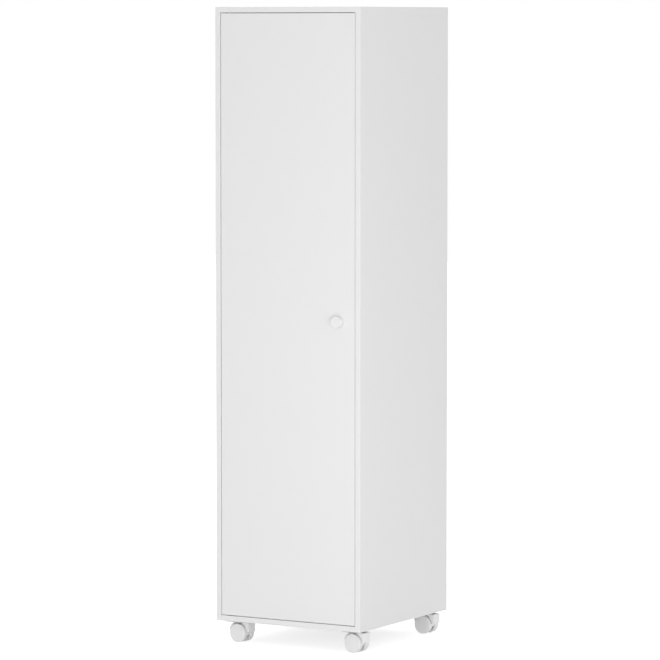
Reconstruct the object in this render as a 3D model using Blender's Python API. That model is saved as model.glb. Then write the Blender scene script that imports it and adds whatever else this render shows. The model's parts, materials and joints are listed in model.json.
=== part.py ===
"""Tall lacquered laundry cabinet on four hooded twin-wheel casters.

The carcass is four mitred boards with hidden splines and a grooved back. One inset door
hangs on a pair of pivots let into its top and bottom edges and is held by a magnetic catch.
Two shelves rest on pins, and a fabric bag hangs from a wire ring that lies on two rails.

Metres, +Z up, front towards -Y. The floor is z = 0 and the origin is the centre of the
cabinet's overall outline on the floor.
"""

import math
from collections import namedtuple

import bmesh
import bpy
from mathutils import Matrix, Vector

# Carcass
WIDTH = 0.354
DEPTH = 0.380
BODY_HEIGHT = 1.309
FLOOR_TO_BODY = 0.0475
PANEL = 0.012
FIT = 0.0003
BACK_THICKNESS = 0.006
BACK_RECESS = 0.010
BACK_GROOVE_DEPTH = 0.006
SPLINE_WIDTH = 0.009
SPLINE_THICKNESS = 0.003
SPLINE_OFFSET = 0.0065
SPLINE_FRONT_STOP = 0.020
SPLINE_REAR_STOP = 0.012

# Door and knob
DOOR_THICKNESS = 0.012
DOOR_GAP = 0.002
KNOB_RADIUS = 0.0125
KNOB_PROJECTION = 0.015
KNOB_RIM = 0.0015
KNOB_INSET = 0.0375
KNOB_THREAD_DEPTH = 0.009
KNOB_SCREW_END_GAP = 0.001

# Pivots at the hinge side
PIVOT_INSET = 0.010
PIVOT_PLATE_LENGTH = 0.032
PIVOT_PLATE_WIDTH = 0.008
PIVOT_PLATE_THICKNESS = 0.0015
PIVOT_PIN_RADIUS = 0.0025
PIVOT_PIN_REACH = 0.006
PIVOT_PIN_TIP = 0.0008
PIVOT_BUSH_RADIUS = 0.0038
PIVOT_BUSH_DEPTH = 0.0075
PIVOT_SCREW_PITCH = 0.010
PIVOT_WASHER_RADIUS = 0.0038

# Shelves and the pins that carry them
SHELF_THICKNESS = 0.012
SHELF_COLLAR_CLEARANCE = 0.0004
SHELF_SETBACK = 0.024
SHELF_REAR_CLEARANCE = 0.001
UPPER_SPACE = 0.232
MIDDLE_SPACE = 0.236
PIN_RADIUS = 0.0025
PIN_DEPTH = 0.007
PIN_REACH = 0.008
PIN_COLLAR_RADIUS = 0.004
PIN_COLLAR = 0.0012
PIN_ROW_INSET = 0.050
PIN_PITCH = 0.032
PIN_HOLES_EACH_WAY = 1

# Magnetic catch on the right-hand board
CATCH_BELOW_SHELF = 0.153
CATCH_THICKNESS = 0.014
CATCH_DEPTH = 0.024
CATCH_HEIGHT = 0.046
CATCH_EDGE = 0.002
MAGNET_THICKNESS = 0.008
MAGNET_HEIGHT = 0.022
MAGNET_DEPTH = 0.018
MAGNET_PROUD = 0.0005
CATCH_SCREW_PITCH = 0.034
STRIKE_WIDTH = 0.009
STRIKE_HEIGHT = 0.036
STRIKE_THICKNESS = 0.0012

# Rails, wire ring and bag
BAG_ACCESS = 0.200
RAIL_THICKNESS = 0.0015
RAIL_LEG = 0.022
RAIL_BEHIND_CATCH = 0.006
RAIL_BACK_CLEARANCE = 0.014
RAIL_SHELF = 0.0076
RAIL_STOP_LENGTH = 0.006
RAIL_STOP_HEIGHT = 0.0055
RAIL_SCREW_INSET = 0.030
WIRE_RADIUS = 0.0025
WIRE_CORNER = 0.026
WIRE_SIDE_GAP = 0.0012
WIRE_END_GAP = 0.0015
BAG_FABRIC = 0.0015
BAG_HEM_ROUND = 0.0006
BAG_FLOOR_CLEARANCE = 0.026
BAG_TAPER = 0.010
BAG_BASE_RADIUS = 0.008

# Casters
CASTER_SIDE_INSET = 0.035
CASTER_END_INSET = 0.038
CASTER_YAW = math.radians(-6.6)
PLATE_SIDE = 0.046
PLATE_CORNER = 0.006
PLATE_THICKNESS = 0.0032
PLATE_SCREW_PITCH = 0.034
KINGPIN_RADIUS = 0.003
KINGPIN_HEAD_RADIUS = 0.006
KINGPIN_HEAD = 0.002
KINGPIN_CHAMFER = 0.0008
KINGPIN_END_GAP = 0.001
KINGPIN_ABOVE_AXLE = 0.0055
WHEEL_RADIUS = 0.020
WHEEL_WIDTH = 0.0113
WHEEL_EDGE = 0.0008
WHEEL_RIM = 0.0035
WHEEL_HUB_RADIUS = 0.006
WHEEL_RECESS = 0.006
WHEEL_FACE = 0.002
WHEEL_SIDE_GAP = 0.0007
TRAIL = 0.006
AXLE_RADIUS = 0.0025
AXLE_TIP = 0.0005
HOOD_WEB = 0.010
HOOD_WIDTH = 0.023
HOOD_WHEEL_GAP = 0.0025
HOOD_ARC = 0.0257
HOOD_REACH = 0.027
HOOD_CORNER = 0.0025
HOOD_WALL_END = 0.003
HOOD_LEFT_END = math.radians(166.0)
HOOD_BOSS_RISE = 0.0005
HOOD_BOSS_RADIUS = 0.009
HOOD_BOSS_DEPTH = 0.010
WEB_REACH = 0.017
WEB_CORNER = 0.005
WEB_HUB_RADIUS = 0.0065
WEB_HUB_START = math.radians(190.0)

# Facets of the round pieces
WHEEL_STEPS = 28
KNOB_STEPS = 32
PIN_STEPS = 10
SCREW_STEPS = 8
BOSS_STEPS = 16
WELL_STEPS = 28
WIRE_SIDES = 8
CORNER_STEPS = 4

# Angles below which neighbouring faces are shaded as one
ROUND_ANGLE = math.radians(40)
WHEEL_ANGLE = math.radians(30)
HOOD_ANGLE = math.radians(35)
CLOTH_ANGLE = math.radians(50)

Screw = namedtuple("Screw", "head_radius head_height shank_radius length")
SCREW_HEAD_EDGE = 0.1
PIVOT_SCREW = Screw(0.0024, 0.0012, 0.0012, 0.011)
CATCH_SCREW = Screw(0.0030, 0.0018, 0.0015, 0.021)
STRIKE_SCREW = Screw(0.0026, 0.0010, 0.0013, 0.009)
RAIL_SCREW = Screw(0.0026, 0.0012, 0.0014, 0.009)
CASTER_SCREW = Screw(0.0032, 0.0017, 0.0016, 0.010)
KNOB_SCREW = Screw(0.0038, 0.0020, 0.0019, DOOR_THICKNESS + KNOB_THREAD_DEPTH - KNOB_SCREW_END_GAP)

# Places that follow from the sizes above
FRONT = (KNOB_PROJECTION + FIT - DEPTH) / 2
REAR = FRONT + DEPTH
BASE = FLOOR_TO_BODY
TOP = BASE + BODY_HEIGHT
INNER_HALF = WIDTH / 2 - PANEL
INNER_BASE = BASE + PANEL
INNER_TOP = TOP - PANEL
BACK_REAR = REAR - BACK_RECESS
BACK_FRONT = BACK_REAR - BACK_THICKNESS
DOOR_BACK = FRONT + DOOR_THICKNESS
PIVOT_X = -INNER_HALF + DOOR_GAP + PIVOT_INSET
PIVOT_Y = FRONT + DOOR_THICKNESS / 2
UPPER_SHELF_TOP = INNER_TOP - UPPER_SPACE
MIDDLE_SHELF_TOP = UPPER_SHELF_TOP - SHELF_THICKNESS - MIDDLE_SPACE
MIDDLE_SHELF_BASE = MIDDLE_SHELF_TOP - SHELF_THICKNESS
CATCH_Z = MIDDLE_SHELF_BASE - CATCH_BELOW_SHELF
CATCH_X = INNER_HALF - FIT - CATCH_THICKNESS / 2
CATCH_FRONT = DOOR_BACK + FIT + STRIKE_THICKNESS + FIT + MAGNET_PROUD
CATCH_REAR = CATCH_FRONT + CATCH_DEPTH
KNOB_X = INNER_HALF - DOOR_GAP - KNOB_INSET
RAIL_TOP = MIDDLE_SHELF_BASE - BAG_ACCESS
RAIL_FRONT = CATCH_REAR + RAIL_BEHIND_CATCH
RAIL_REAR = BACK_FRONT - RAIL_BACK_CLEARANCE
WIRE_Z = RAIL_TOP + FIT + WIRE_RADIUS
WIRE_HALF_X = INNER_HALF - FIT - RAIL_THICKNESS - WIRE_SIDE_GAP - BAG_FABRIC - FIT - WIRE_RADIUS
HEM_REACH = WIRE_RADIUS + FIT + BAG_FABRIC
HEM_CORNER = WIRE_CORNER + HEM_REACH
STOP_OVERLAP = WIRE_HALF_X + HEM_REACH - (INNER_HALF - FIT - RAIL_THICKNESS - RAIL_SHELF)
HEM_AT_STOP = math.sqrt(HEM_CORNER**2 - (HEM_CORNER - STOP_OVERLAP) ** 2)
WIRE_FRONT = RAIL_FRONT + RAIL_STOP_LENGTH + WIRE_END_GAP + HEM_AT_STOP - WIRE_CORNER
WIRE_REAR = RAIL_REAR - WIRE_END_GAP - HEM_REACH
BAG_BASE = INNER_BASE + BAG_FLOOR_CLEARANCE
PLATE_TOP = BASE - FIT
PLATE_BASE = PLATE_TOP - PLATE_THICKNESS
AXLE_HALF = HOOD_WEB / 2 + WHEEL_SIDE_GAP + WHEEL_WIDTH - WHEEL_FACE - FIT


def clear_scene():
    """Remove whatever the file opened with."""
    for obj in list(bpy.data.objects):
        bpy.data.objects.remove(obj)


def material(name, colour, roughness, metallic=0.0):
    """Return a Principled material."""
    made = bpy.data.materials.new(name)
    made.use_nodes = True
    shader = made.node_tree.nodes["Principled BSDF"]
    shader.inputs["Base Color"].default_value = (*colour, 1.0)
    shader.inputs["Roughness"].default_value = roughness
    shader.inputs["Metallic"].default_value = metallic
    return made


def place(name, mesh, finish, location=(0, 0, 0), rotation=(0, 0, 0), parent=None):
    """Make the named object of one sub-part."""
    obj = bpy.data.objects.new(name, mesh)
    obj.location = location
    obj.rotation_euler = rotation
    obj.parent = parent
    if not mesh.materials:
        mesh.materials.append(finish)
    bpy.context.collection.objects.link(obj)
    return obj


def pivot_empty(name, location, yaw=0.0, parent=None):
    """Empty on a joint's axis, which carries the pieces that move with it."""
    empty = bpy.data.objects.new(name, None)
    empty.location = location
    empty.rotation_euler = (0, 0, yaw)
    empty.parent = parent
    bpy.context.collection.objects.link(empty)
    return empty


def box(low, high):
    """Box between two corners."""
    body = bmesh.new()
    bmesh.ops.create_cube(body, size=1.0)
    low, high = Vector(low), Vector(high)
    for vert in body.verts:
        share = vert.co + Vector((0.5, 0.5, 0.5))
        vert.co = [a + s * (b - a) for a, b, s in zip(low, high, share)]
    return body


def prism(outline, start, end, axis="Y"):
    """Extrude a closed outline of pairs along an axis, from start to end.

    The pairs are (x, z) for axis Y, (x, y) for axis Z and (y, z) for axis X.
    """
    lift = {
        "X": lambda p, d: (d, p[0], p[1]),
        "Y": lambda p, d: (p[0], d, p[1]),
        "Z": lambda p, d: (p[0], p[1], d),
    }[axis]
    body = bmesh.new()
    face = body.faces.new([body.verts.new(lift(point, start)) for point in outline])
    grown = bmesh.ops.extrude_face_region(body, geom=[face])
    moved = [item for item in grown["geom"] if isinstance(item, bmesh.types.BMVert)]
    bmesh.ops.translate(body, verts=moved, vec=Vector(lift((0, 0), end - start)))
    bmesh.ops.recalc_face_normals(body, faces=body.faces)
    return body


def turned(outline, steps, half_step=False):
    """Turn a half outline of (radius, height) points about Z.

    An outline that starts and ends on the axis gives a solid, any other is closed to a ring.
    """
    body = bmesh.new()
    verts = [body.verts.new((radius, 0, height)) for radius, height in outline]
    pairs = list(zip(verts, verts[1:]))
    if outline[0][0] > 0:
        pairs.append((verts[-1], verts[0]))
    edges = [body.edges.new(pair) for pair in pairs]
    bmesh.ops.spin(
        body, geom=verts + edges, cent=(0, 0, 0), axis=(0, 0, 1), angle=2 * math.pi, steps=steps
    )
    bmesh.ops.remove_doubles(body, verts=body.verts, dist=1e-6)
    if half_step:
        bmesh.ops.rotate(
            body, verts=body.verts, cent=(0, 0, 0), matrix=Matrix.Rotation(math.pi / steps, 3, "Z")
        )
    bmesh.ops.recalc_face_normals(body, faces=body.faces)
    return body


def cylinder(radius, low, high, steps):
    """Upright cylinder about Z."""
    return turned([(0, high), (radius, high), (radius, low), (0, low)], steps)


def moved(body, location=(0, 0, 0), turn=None):
    """Turn a body about the origin, then shift it."""
    matrix = Matrix.Translation(location)
    if turn is not None:
        matrix = matrix @ turn.to_4x4()
    bmesh.ops.transform(body, matrix=matrix, verts=body.verts)
    bmesh.ops.recalc_face_normals(body, faces=body.faces)
    return body


def gathered(bodies):
    """Join separate bodies into one bmesh, with nothing merged."""
    whole = bmesh.new()
    for body in bodies:
        scratch = bpy.data.meshes.new("scratch")
        body.to_mesh(scratch)
        body.free()
        whole.from_mesh(scratch)
        bpy.data.meshes.remove(scratch)
    return whole


def to_mesh(name, body, smooth_angle=None):
    """Turn a bmesh into a mesh, smooth below the given angle."""
    mesh = bpy.data.meshes.new(name)
    body.to_mesh(mesh)
    body.free()
    if smooth_angle is not None:
        mesh.shade_smooth()
        mesh.set_sharp_from_angle(angle=smooth_angle)
    return mesh


def worked(name, body, joined=(), cut=(), smooth_angle=None):
    """Join and cut a body with Boolean modifiers, and return the finished mesh."""
    carrier = bpy.data.objects.new(name, to_mesh(name, body))
    bpy.context.collection.objects.link(carrier)
    tools = []
    for operation, solids in (("UNION", joined), ("DIFFERENCE", cut)):
        for solid in solids:
            tool = bpy.data.objects.new(name + "_tool", to_mesh(name + "_tool", solid))
            tool.hide_render = True
            tool.display_type = "WIRE"
            bpy.context.collection.objects.link(tool)
            tools.append(tool)
            modifier = carrier.modifiers.new(operation.title(), "BOOLEAN")
            modifier.operation = operation
            modifier.solver = "EXACT"
            modifier.object = tool
    bpy.context.view_layer.update()
    evaluated = carrier.evaluated_get(bpy.context.evaluated_depsgraph_get())
    mesh = bpy.data.meshes.new_from_object(evaluated)
    mesh.name = name
    for obj in (carrier, *tools):
        bpy.data.objects.remove(obj)
    if smooth_angle is not None:
        mesh.shade_smooth()
        mesh.set_sharp_from_angle(angle=smooth_angle)
    return mesh


def arc(centre, radius, start, end, steps):
    """Points along an arc of a circle, both ends included."""
    return [
        (
            centre[0] + radius * math.cos(start + (end - start) * step / steps),
            centre[1] + radius * math.sin(start + (end - start) * step / steps),
        )
        for step in range(steps + 1)
    ]


def stadium(start_x, end_x, half_width, steps=CORNER_STEPS):
    """Outline with round ends, whose end arcs are centred at start_x and end_x."""
    right = arc((end_x, 0), half_width, -math.pi / 2, math.pi / 2, 2 * steps)
    left = arc((start_x, 0), half_width, math.pi / 2, 3 * math.pi / 2, 2 * steps)
    return right + left


def rounded_rectangle(low, high, radius, steps=CORNER_STEPS):
    """Outline of a rectangle with round corners, anticlockwise."""
    centres = (
        (high[0] - radius, low[1] + radius, -math.pi / 2),
        (high[0] - radius, high[1] - radius, 0.0),
        (low[0] + radius, high[1] - radius, math.pi / 2),
        (low[0] + radius, low[1] + radius, math.pi),
    )
    points = []
    for x, y, start in centres:
        points += arc((x, y), radius, start, start + math.pi / 2, steps)
    return points


def screw_body(screw, grow=0.0):
    """Countersunk screw with its head's top at z = 0, or its hole when grown."""
    head_edge = 0.0 if grow else -screw.head_height * SCREW_HEAD_EDGE
    return turned(
        [
            (0, grow),
            (screw.head_radius + grow, grow),
            (screw.head_radius + grow, head_edge),
            (screw.shank_radius + grow, -screw.head_height),
            (screw.shank_radius + grow, -screw.length - grow),
            (0, -screw.length - grow),
        ],
        SCREW_STEPS,
    )


def screws_at(screw, seats, grow=0.0):
    """One screw, or hole, at each seat of (location, turn)."""
    return gathered([moved(screw_body(screw, grow), location, turn) for location, turn in seats])


HEAD_UP = Matrix.Identity(3)
HEAD_DOWN = Matrix.Rotation(math.pi, 3, "X")
HEAD_RIGHT = Matrix.Rotation(math.pi / 2, 3, "Y")
HEAD_LEFT = Matrix.Rotation(-math.pi / 2, 3, "Y")
HEAD_REAR = Matrix.Rotation(-math.pi / 2, 3, "X")
AXIS_TO_FRONT = Matrix.Rotation(math.pi / 2, 3, "X")
AXIS_TO_REAR = Matrix.Rotation(-math.pi / 2, 3, "X")


def caster_centres():
    """Name and swivel centre of each caster, seen from above."""
    x = WIDTH / 2 - CASTER_SIDE_INSET
    front = FRONT + CASTER_END_INSET
    rear = REAR - CASTER_END_INSET
    return (
        ("front_left", -x, front),
        ("front_right", x, front),
        ("rear_left", -x, rear),
        ("rear_right", x, rear),
    )


def plate_screw_seats(x, y):
    """Seats of the four screws of the top plate centred at x and y."""
    reach = PLATE_SCREW_PITCH / 2
    return [
        ((x + dx, y + dy, PLATE_BASE), HEAD_DOWN)
        for dx in (-reach, reach)
        for dy in (-reach, reach)
    ]


def pin_seats():
    """Name, y and z of each shelf pin in one side board, under its shelf."""
    shelf_front = FRONT + SHELF_SETBACK
    return [
        (shelf + "_" + end, y, top - SHELF_THICKNESS - FIT - PIN_RADIUS)
        for shelf, top in (("upper", UPPER_SHELF_TOP), ("middle", MIDDLE_SHELF_TOP))
        for end, y in (("front", shelf_front + PIN_ROW_INSET), ("rear", BACK_FRONT - PIN_ROW_INSET))
    ]


def pin_hole_rows(side):
    """Drilled rows in one side board, so each shelf can move up or down by whole steps."""
    turn = HEAD_LEFT if side < 0 else HEAD_RIGHT
    bodies = []
    for _, y, z in pin_seats():
        for step in range(-PIN_HOLES_EACH_WAY, PIN_HOLES_EACH_WAY + 1):
            hole = cylinder(PIN_RADIUS + FIT, -FIT, PIN_DEPTH + FIT, PIN_STEPS)
            bodies.append(moved(hole, (side * INNER_HALF, y, z + step * PIN_PITCH), turn))
    return gathered(bodies)


def back_outline(grow):
    """Box of the back board, grown on every side for its groove."""
    half = INNER_HALF + BACK_GROOVE_DEPTH - FIT + grow
    low = INNER_BASE - BACK_GROOVE_DEPTH + FIT - grow
    high = INNER_TOP + BACK_GROOVE_DEPTH - FIT + grow
    return box((-half, BACK_FRONT - grow, low), (half, BACK_REAR + grow, high))


def splines(grow=0.0):
    """Name and body of each loose tongue across a mitre, or of its groove when grown."""
    reach = SPLINE_OFFSET / math.sqrt(2)
    half_width = SPLINE_WIDTH / 2 + grow
    half_thickness = SPLINE_THICKNESS / 2 + grow
    front = FRONT + SPLINE_FRONT_STOP - grow
    rear = BACK_FRONT - SPLINE_REAR_STOP + grow
    found = []
    for side, side_name in ((-1, "left"), (1, "right")):
        for level, z, level_name in ((-1, INNER_BASE, "bottom"), (1, INNER_TOP, "top")):
            tongue = box((-half_width, front, -half_thickness), (half_width, rear, half_thickness))
            turn = Matrix.Rotation(side * level * math.pi / 4, 3, "Y")
            centre = (side * (INNER_HALF + reach), 0, z + level * reach)
            found.append((level_name + "_" + side_name, moved(tongue, centre, turn)))
    return found


def spline_grooves():
    """The grooves of all four tongues as one cutter."""
    return gathered([body for _, body in splines(FIT)])


def rail_screw_seats(side):
    """Seats of the three screws of one bag rail."""
    x = side * (INNER_HALF - FIT - RAIL_THICKNESS)
    z = RAIL_TOP - RAIL_THICKNESS - (RAIL_LEG - RAIL_THICKNESS) / 2
    middle = (RAIL_FRONT + RAIL_REAR) / 2
    turn = HEAD_LEFT if side > 0 else HEAD_RIGHT
    return [
        ((x, y, z), turn)
        for y in (RAIL_FRONT + RAIL_SCREW_INSET, middle, RAIL_REAR - RAIL_SCREW_INSET)
    ]


def catch_screw_seats():
    """Seats of the two screws that hold the catch to the right-hand board."""
    x = INNER_HALF - FIT - CATCH_THICKNESS
    y = CATCH_FRONT + CATCH_DEPTH / 2
    reach = CATCH_SCREW_PITCH / 2
    return [((x, y, CATCH_Z + dz), HEAD_LEFT) for dz in (-reach, reach)]


def pivot_plate_outline(grow=0.0):
    """Plate outline about the pivot, with the plate running towards the knob side."""
    half = PIVOT_PLATE_WIDTH / 2
    points = stadium(0.0, PIVOT_PLATE_LENGTH - PIVOT_PLATE_WIDTH, half + grow)
    return [(PIVOT_X + x, PIVOT_Y + y) for x, y in points]


def pivot_screw_seats(z, turn):
    """Seats of the two screws of one pivot plate, whose outer face is at height z."""
    return [((PIVOT_X + step * PIVOT_SCREW_PITCH, PIVOT_Y, z), turn) for step in (1, 2)]


def pivot_recess(z, level):
    """Routed recess for a plate whose outer face is at z, cut away from level."""
    depth = PIVOT_PLATE_THICKNESS + FIT
    return prism(pivot_plate_outline(FIT), z + level * FIT, z - level * depth, axis="Z")


def socket_levels():
    """Face height, outward level and screw turn of the two sockets in the carcass."""
    return (("bottom", INNER_BASE, 1, HEAD_UP), ("top", INNER_TOP, -1, HEAD_DOWN))


def door_levels():
    """Face height, outward level and screw turn of the two pivots in the door's edges."""
    low = INNER_BASE + DOOR_GAP
    high = INNER_TOP - DOOR_GAP
    return (("bottom", low, -1, HEAD_DOWN), ("top", high, 1, HEAD_UP))


def build_carcass(lacquer, back_finish, hidden_wood):
    """Side, top and bottom boards, the back and the mitre splines."""
    joint = FIT / math.sqrt(2)
    half = WIDTH / 2
    groove = back_outline(FIT)
    for side, name in ((-1, "side_panel_left"), (1, "side_panel_right")):
        outline = [
            (side * half, BASE + joint),
            (side * INNER_HALF, INNER_BASE + joint),
            (side * INNER_HALF, INNER_TOP - joint),
            (side * half, TOP - joint),
        ]
        cuts = [groove.copy(), spline_grooves(), pin_hole_rows(side)]
        cuts.append(screws_at(RAIL_SCREW, rail_screw_seats(side), FIT))
        if side > 0:
            cuts.append(screws_at(CATCH_SCREW, catch_screw_seats(), FIT))
        place(name, worked(name, prism(outline, FRONT, REAR), cut=cuts), lacquer)
    for (name, z, level, turn), inner, outer in (
        (socket_levels()[0], INNER_BASE, BASE),
        (socket_levels()[1], INNER_TOP, TOP),
    ):
        outline = [
            (-half + joint, outer),
            (half - joint, outer),
            (INNER_HALF - joint, inner),
            (-INNER_HALF + joint, inner),
        ]
        bush = cylinder(PIVOT_BUSH_RADIUS + FIT, -PIVOT_BUSH_DEPTH - FIT, 0, BOSS_STEPS)
        cuts = [groove.copy(), spline_grooves(), pivot_recess(z, level)]
        cuts.append(moved(bush, (PIVOT_X, PIVOT_Y, z), turn))
        cuts.append(screws_at(PIVOT_SCREW, pivot_screw_seats(z, turn), FIT))
        if outer == BASE:
            for _, x, y in caster_centres():
                head = cylinder(KINGPIN_HEAD_RADIUS + FIT, -FIT, KINGPIN_HEAD + FIT, PIN_STEPS)
                cuts.append(moved(head, (x, y, BASE)))
                cuts.append(screws_at(CASTER_SCREW, plate_screw_seats(x, y), FIT))
        place(name + "_panel", worked(name + "_panel", prism(outline, FRONT, REAR), cut=cuts), lacquer)
    place("back_panel", to_mesh("back_panel", back_outline(0.0)), back_finish)
    for name, body in splines():
        place("spline_" + name, to_mesh("spline_" + name, body), hidden_wood)
    groove.free()


def build_shelves(lacquer, steel):
    """Two loose shelves and the pins under them."""
    half = INNER_HALF - FIT - PIN_COLLAR - SHELF_COLLAR_CLEARANCE
    front = FRONT + SHELF_SETBACK
    rear = BACK_FRONT - SHELF_REAR_CLEARANCE
    for name, top in (("shelf_upper", UPPER_SHELF_TOP), ("shelf_middle", MIDDLE_SHELF_TOP)):
        board = box((-half, front, top - SHELF_THICKNESS), (half, rear, top))
        place(name, to_mesh(name, board), lacquer)
    outline = [
        (0, PIN_REACH),
        (PIN_RADIUS, PIN_REACH),
        (PIN_RADIUS, PIN_COLLAR + FIT),
        (PIN_COLLAR_RADIUS, PIN_COLLAR + FIT),
        (PIN_COLLAR_RADIUS, FIT),
        (PIN_RADIUS, FIT),
        (PIN_RADIUS, -PIN_DEPTH),
        (0, -PIN_DEPTH),
    ]
    pin = to_mesh("shelf_pin", turned(outline, PIN_STEPS), ROUND_ANGLE)
    for side, side_name in ((-1, "left"), (1, "right")):
        for name, y, z in pin_seats():
            turn = (0, -side * math.pi / 2, 0)
            place("shelf_pin_" + name + "_" + side_name, pin, steel, (side * INNER_HALF, y, z), turn)


def build_sockets(steel, nylon):
    """Pivot sockets let into the top and bottom boards, and the washer on the lower one."""
    for name, z, level, turn in socket_levels():
        plate = prism(pivot_plate_outline(), z, z - level * PIVOT_PLATE_THICKNESS, axis="Z")
        bush = cylinder(PIVOT_BUSH_RADIUS, -PIVOT_BUSH_DEPTH, -PIVOT_PLATE_THICKNESS / 2, BOSS_STEPS)
        bore = cylinder(PIVOT_PIN_RADIUS + FIT, -PIVOT_BUSH_DEPTH - FIT, FIT, BOSS_STEPS)
        plate_seats = pivot_screw_seats(z, turn)
        mesh = worked(
            "pivot_socket_" + name,
            plate,
            joined=[moved(bush, (PIVOT_X, PIVOT_Y, z), turn)],
            cut=[moved(bore, (PIVOT_X, PIVOT_Y, z), turn), screws_at(PIVOT_SCREW, plate_seats, FIT)],
            smooth_angle=ROUND_ANGLE,
        )
        place("pivot_socket_" + name, mesh, steel)
    ring = [
        (PIVOT_PIN_RADIUS + FIT, FIT),
        (PIVOT_WASHER_RADIUS, FIT),
        (PIVOT_WASHER_RADIUS, DOOR_GAP - FIT),
        (PIVOT_PIN_RADIUS + FIT, DOOR_GAP - FIT),
    ]
    mesh = to_mesh("pivot_washer", turned(ring, BOSS_STEPS), ROUND_ANGLE)
    place("pivot_washer", mesh, nylon, (PIVOT_X, PIVOT_Y, INNER_BASE))


def build_catch(plastic, magnet_finish):
    """Magnetic catch: a housing with a pocket and two screw holes, and the magnet in it."""
    low = (CATCH_X - CATCH_THICKNESS / 2, CATCH_FRONT, CATCH_Z - CATCH_HEIGHT / 2)
    high = (CATCH_X + CATCH_THICKNESS / 2, CATCH_REAR, CATCH_Z + CATCH_HEIGHT / 2)
    outline = rounded_rectangle((low[1], low[2]), (high[1], high[2]), CATCH_EDGE, 3)
    half = MAGNET_THICKNESS / 2
    reach = MAGNET_HEIGHT / 2
    magnet_front = CATCH_FRONT - MAGNET_PROUD
    magnet_rear = magnet_front + MAGNET_DEPTH
    pocket = box(
        (CATCH_X - half - FIT, magnet_front - FIT, CATCH_Z - reach - FIT),
        (CATCH_X + half + FIT, magnet_rear + FIT, CATCH_Z + reach + FIT),
    )
    holes = screws_at(CATCH_SCREW, catch_screw_seats(), FIT)
    housing = worked("catch_housing", prism(outline, low[0], high[0], axis="X"), cut=[pocket, holes])
    place("catch_housing", housing, plastic)
    magnet = box(
        (CATCH_X - half, magnet_front, CATCH_Z - reach),
        (CATCH_X + half, magnet_rear, CATCH_Z + reach),
    )
    place("catch_magnet", to_mesh("catch_magnet", magnet), magnet_finish)


def build_bag_rails(steel):
    """Angle rails on the side boards, each with an upturned stop at the front."""
    for side, name in ((-1, "bag_rail_left"), (1, "bag_rail_right")):
        wall = INNER_HALF - FIT
        inner = wall - RAIL_THICKNESS - RAIL_SHELF
        outline = [
            (side * wall, RAIL_TOP),
            (side * inner, RAIL_TOP),
            (side * inner, RAIL_TOP - RAIL_THICKNESS),
            (side * (wall - RAIL_THICKNESS), RAIL_TOP - RAIL_THICKNESS),
            (side * (wall - RAIL_THICKNESS), RAIL_TOP - RAIL_LEG),
            (side * wall, RAIL_TOP - RAIL_LEG),
        ]
        ends = sorted((side * inner, side * (inner + RAIL_SHELF)))
        stop = prism(
            [
                (RAIL_FRONT, RAIL_TOP - RAIL_THICKNESS / 2),
                (RAIL_FRONT + RAIL_STOP_LENGTH, RAIL_TOP - RAIL_THICKNESS / 2),
                (RAIL_FRONT + RAIL_THICKNESS, RAIL_TOP + RAIL_STOP_HEIGHT),
                (RAIL_FRONT, RAIL_TOP + RAIL_STOP_HEIGHT),
            ],
            *ends,
            axis="X",
        )
        mesh = worked(
            name,
            prism(outline, RAIL_FRONT, RAIL_REAR),
            joined=[stop],
            cut=[screws_at(RAIL_SCREW, rail_screw_seats(side), FIT)],
        )
        place(name, mesh, steel)


def ring_outline(offset, z):
    """Points of the wire ring's centre line, offset outwards, at height z."""
    points = rounded_rectangle(
        (-WIRE_HALF_X - offset, WIRE_FRONT - offset),
        (WIRE_HALF_X + offset, WIRE_REAR + offset),
        WIRE_CORNER + offset,
    )
    return [Vector((x, y, z)) for x, y in points]


def bridged(rings, closed):
    """Skin successive rings of equal count, capped at both ends unless closed."""
    body = bmesh.new()
    loops = [[body.verts.new(point) for point in ring] for ring in rings]
    pairs = list(zip(loops, loops[1:]))
    if closed:
        pairs.append((loops[-1], loops[0]))
    count = len(loops[0])
    for first, second in pairs:
        for index in range(count):
            after = (index + 1) % count
            body.faces.new((first[index], first[after], second[after], second[index]))
    if not closed:
        body.faces.new(reversed(loops[0]))
        body.faces.new(loops[-1])
    bmesh.ops.recalc_face_normals(body, faces=body.faces)
    return body


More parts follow.
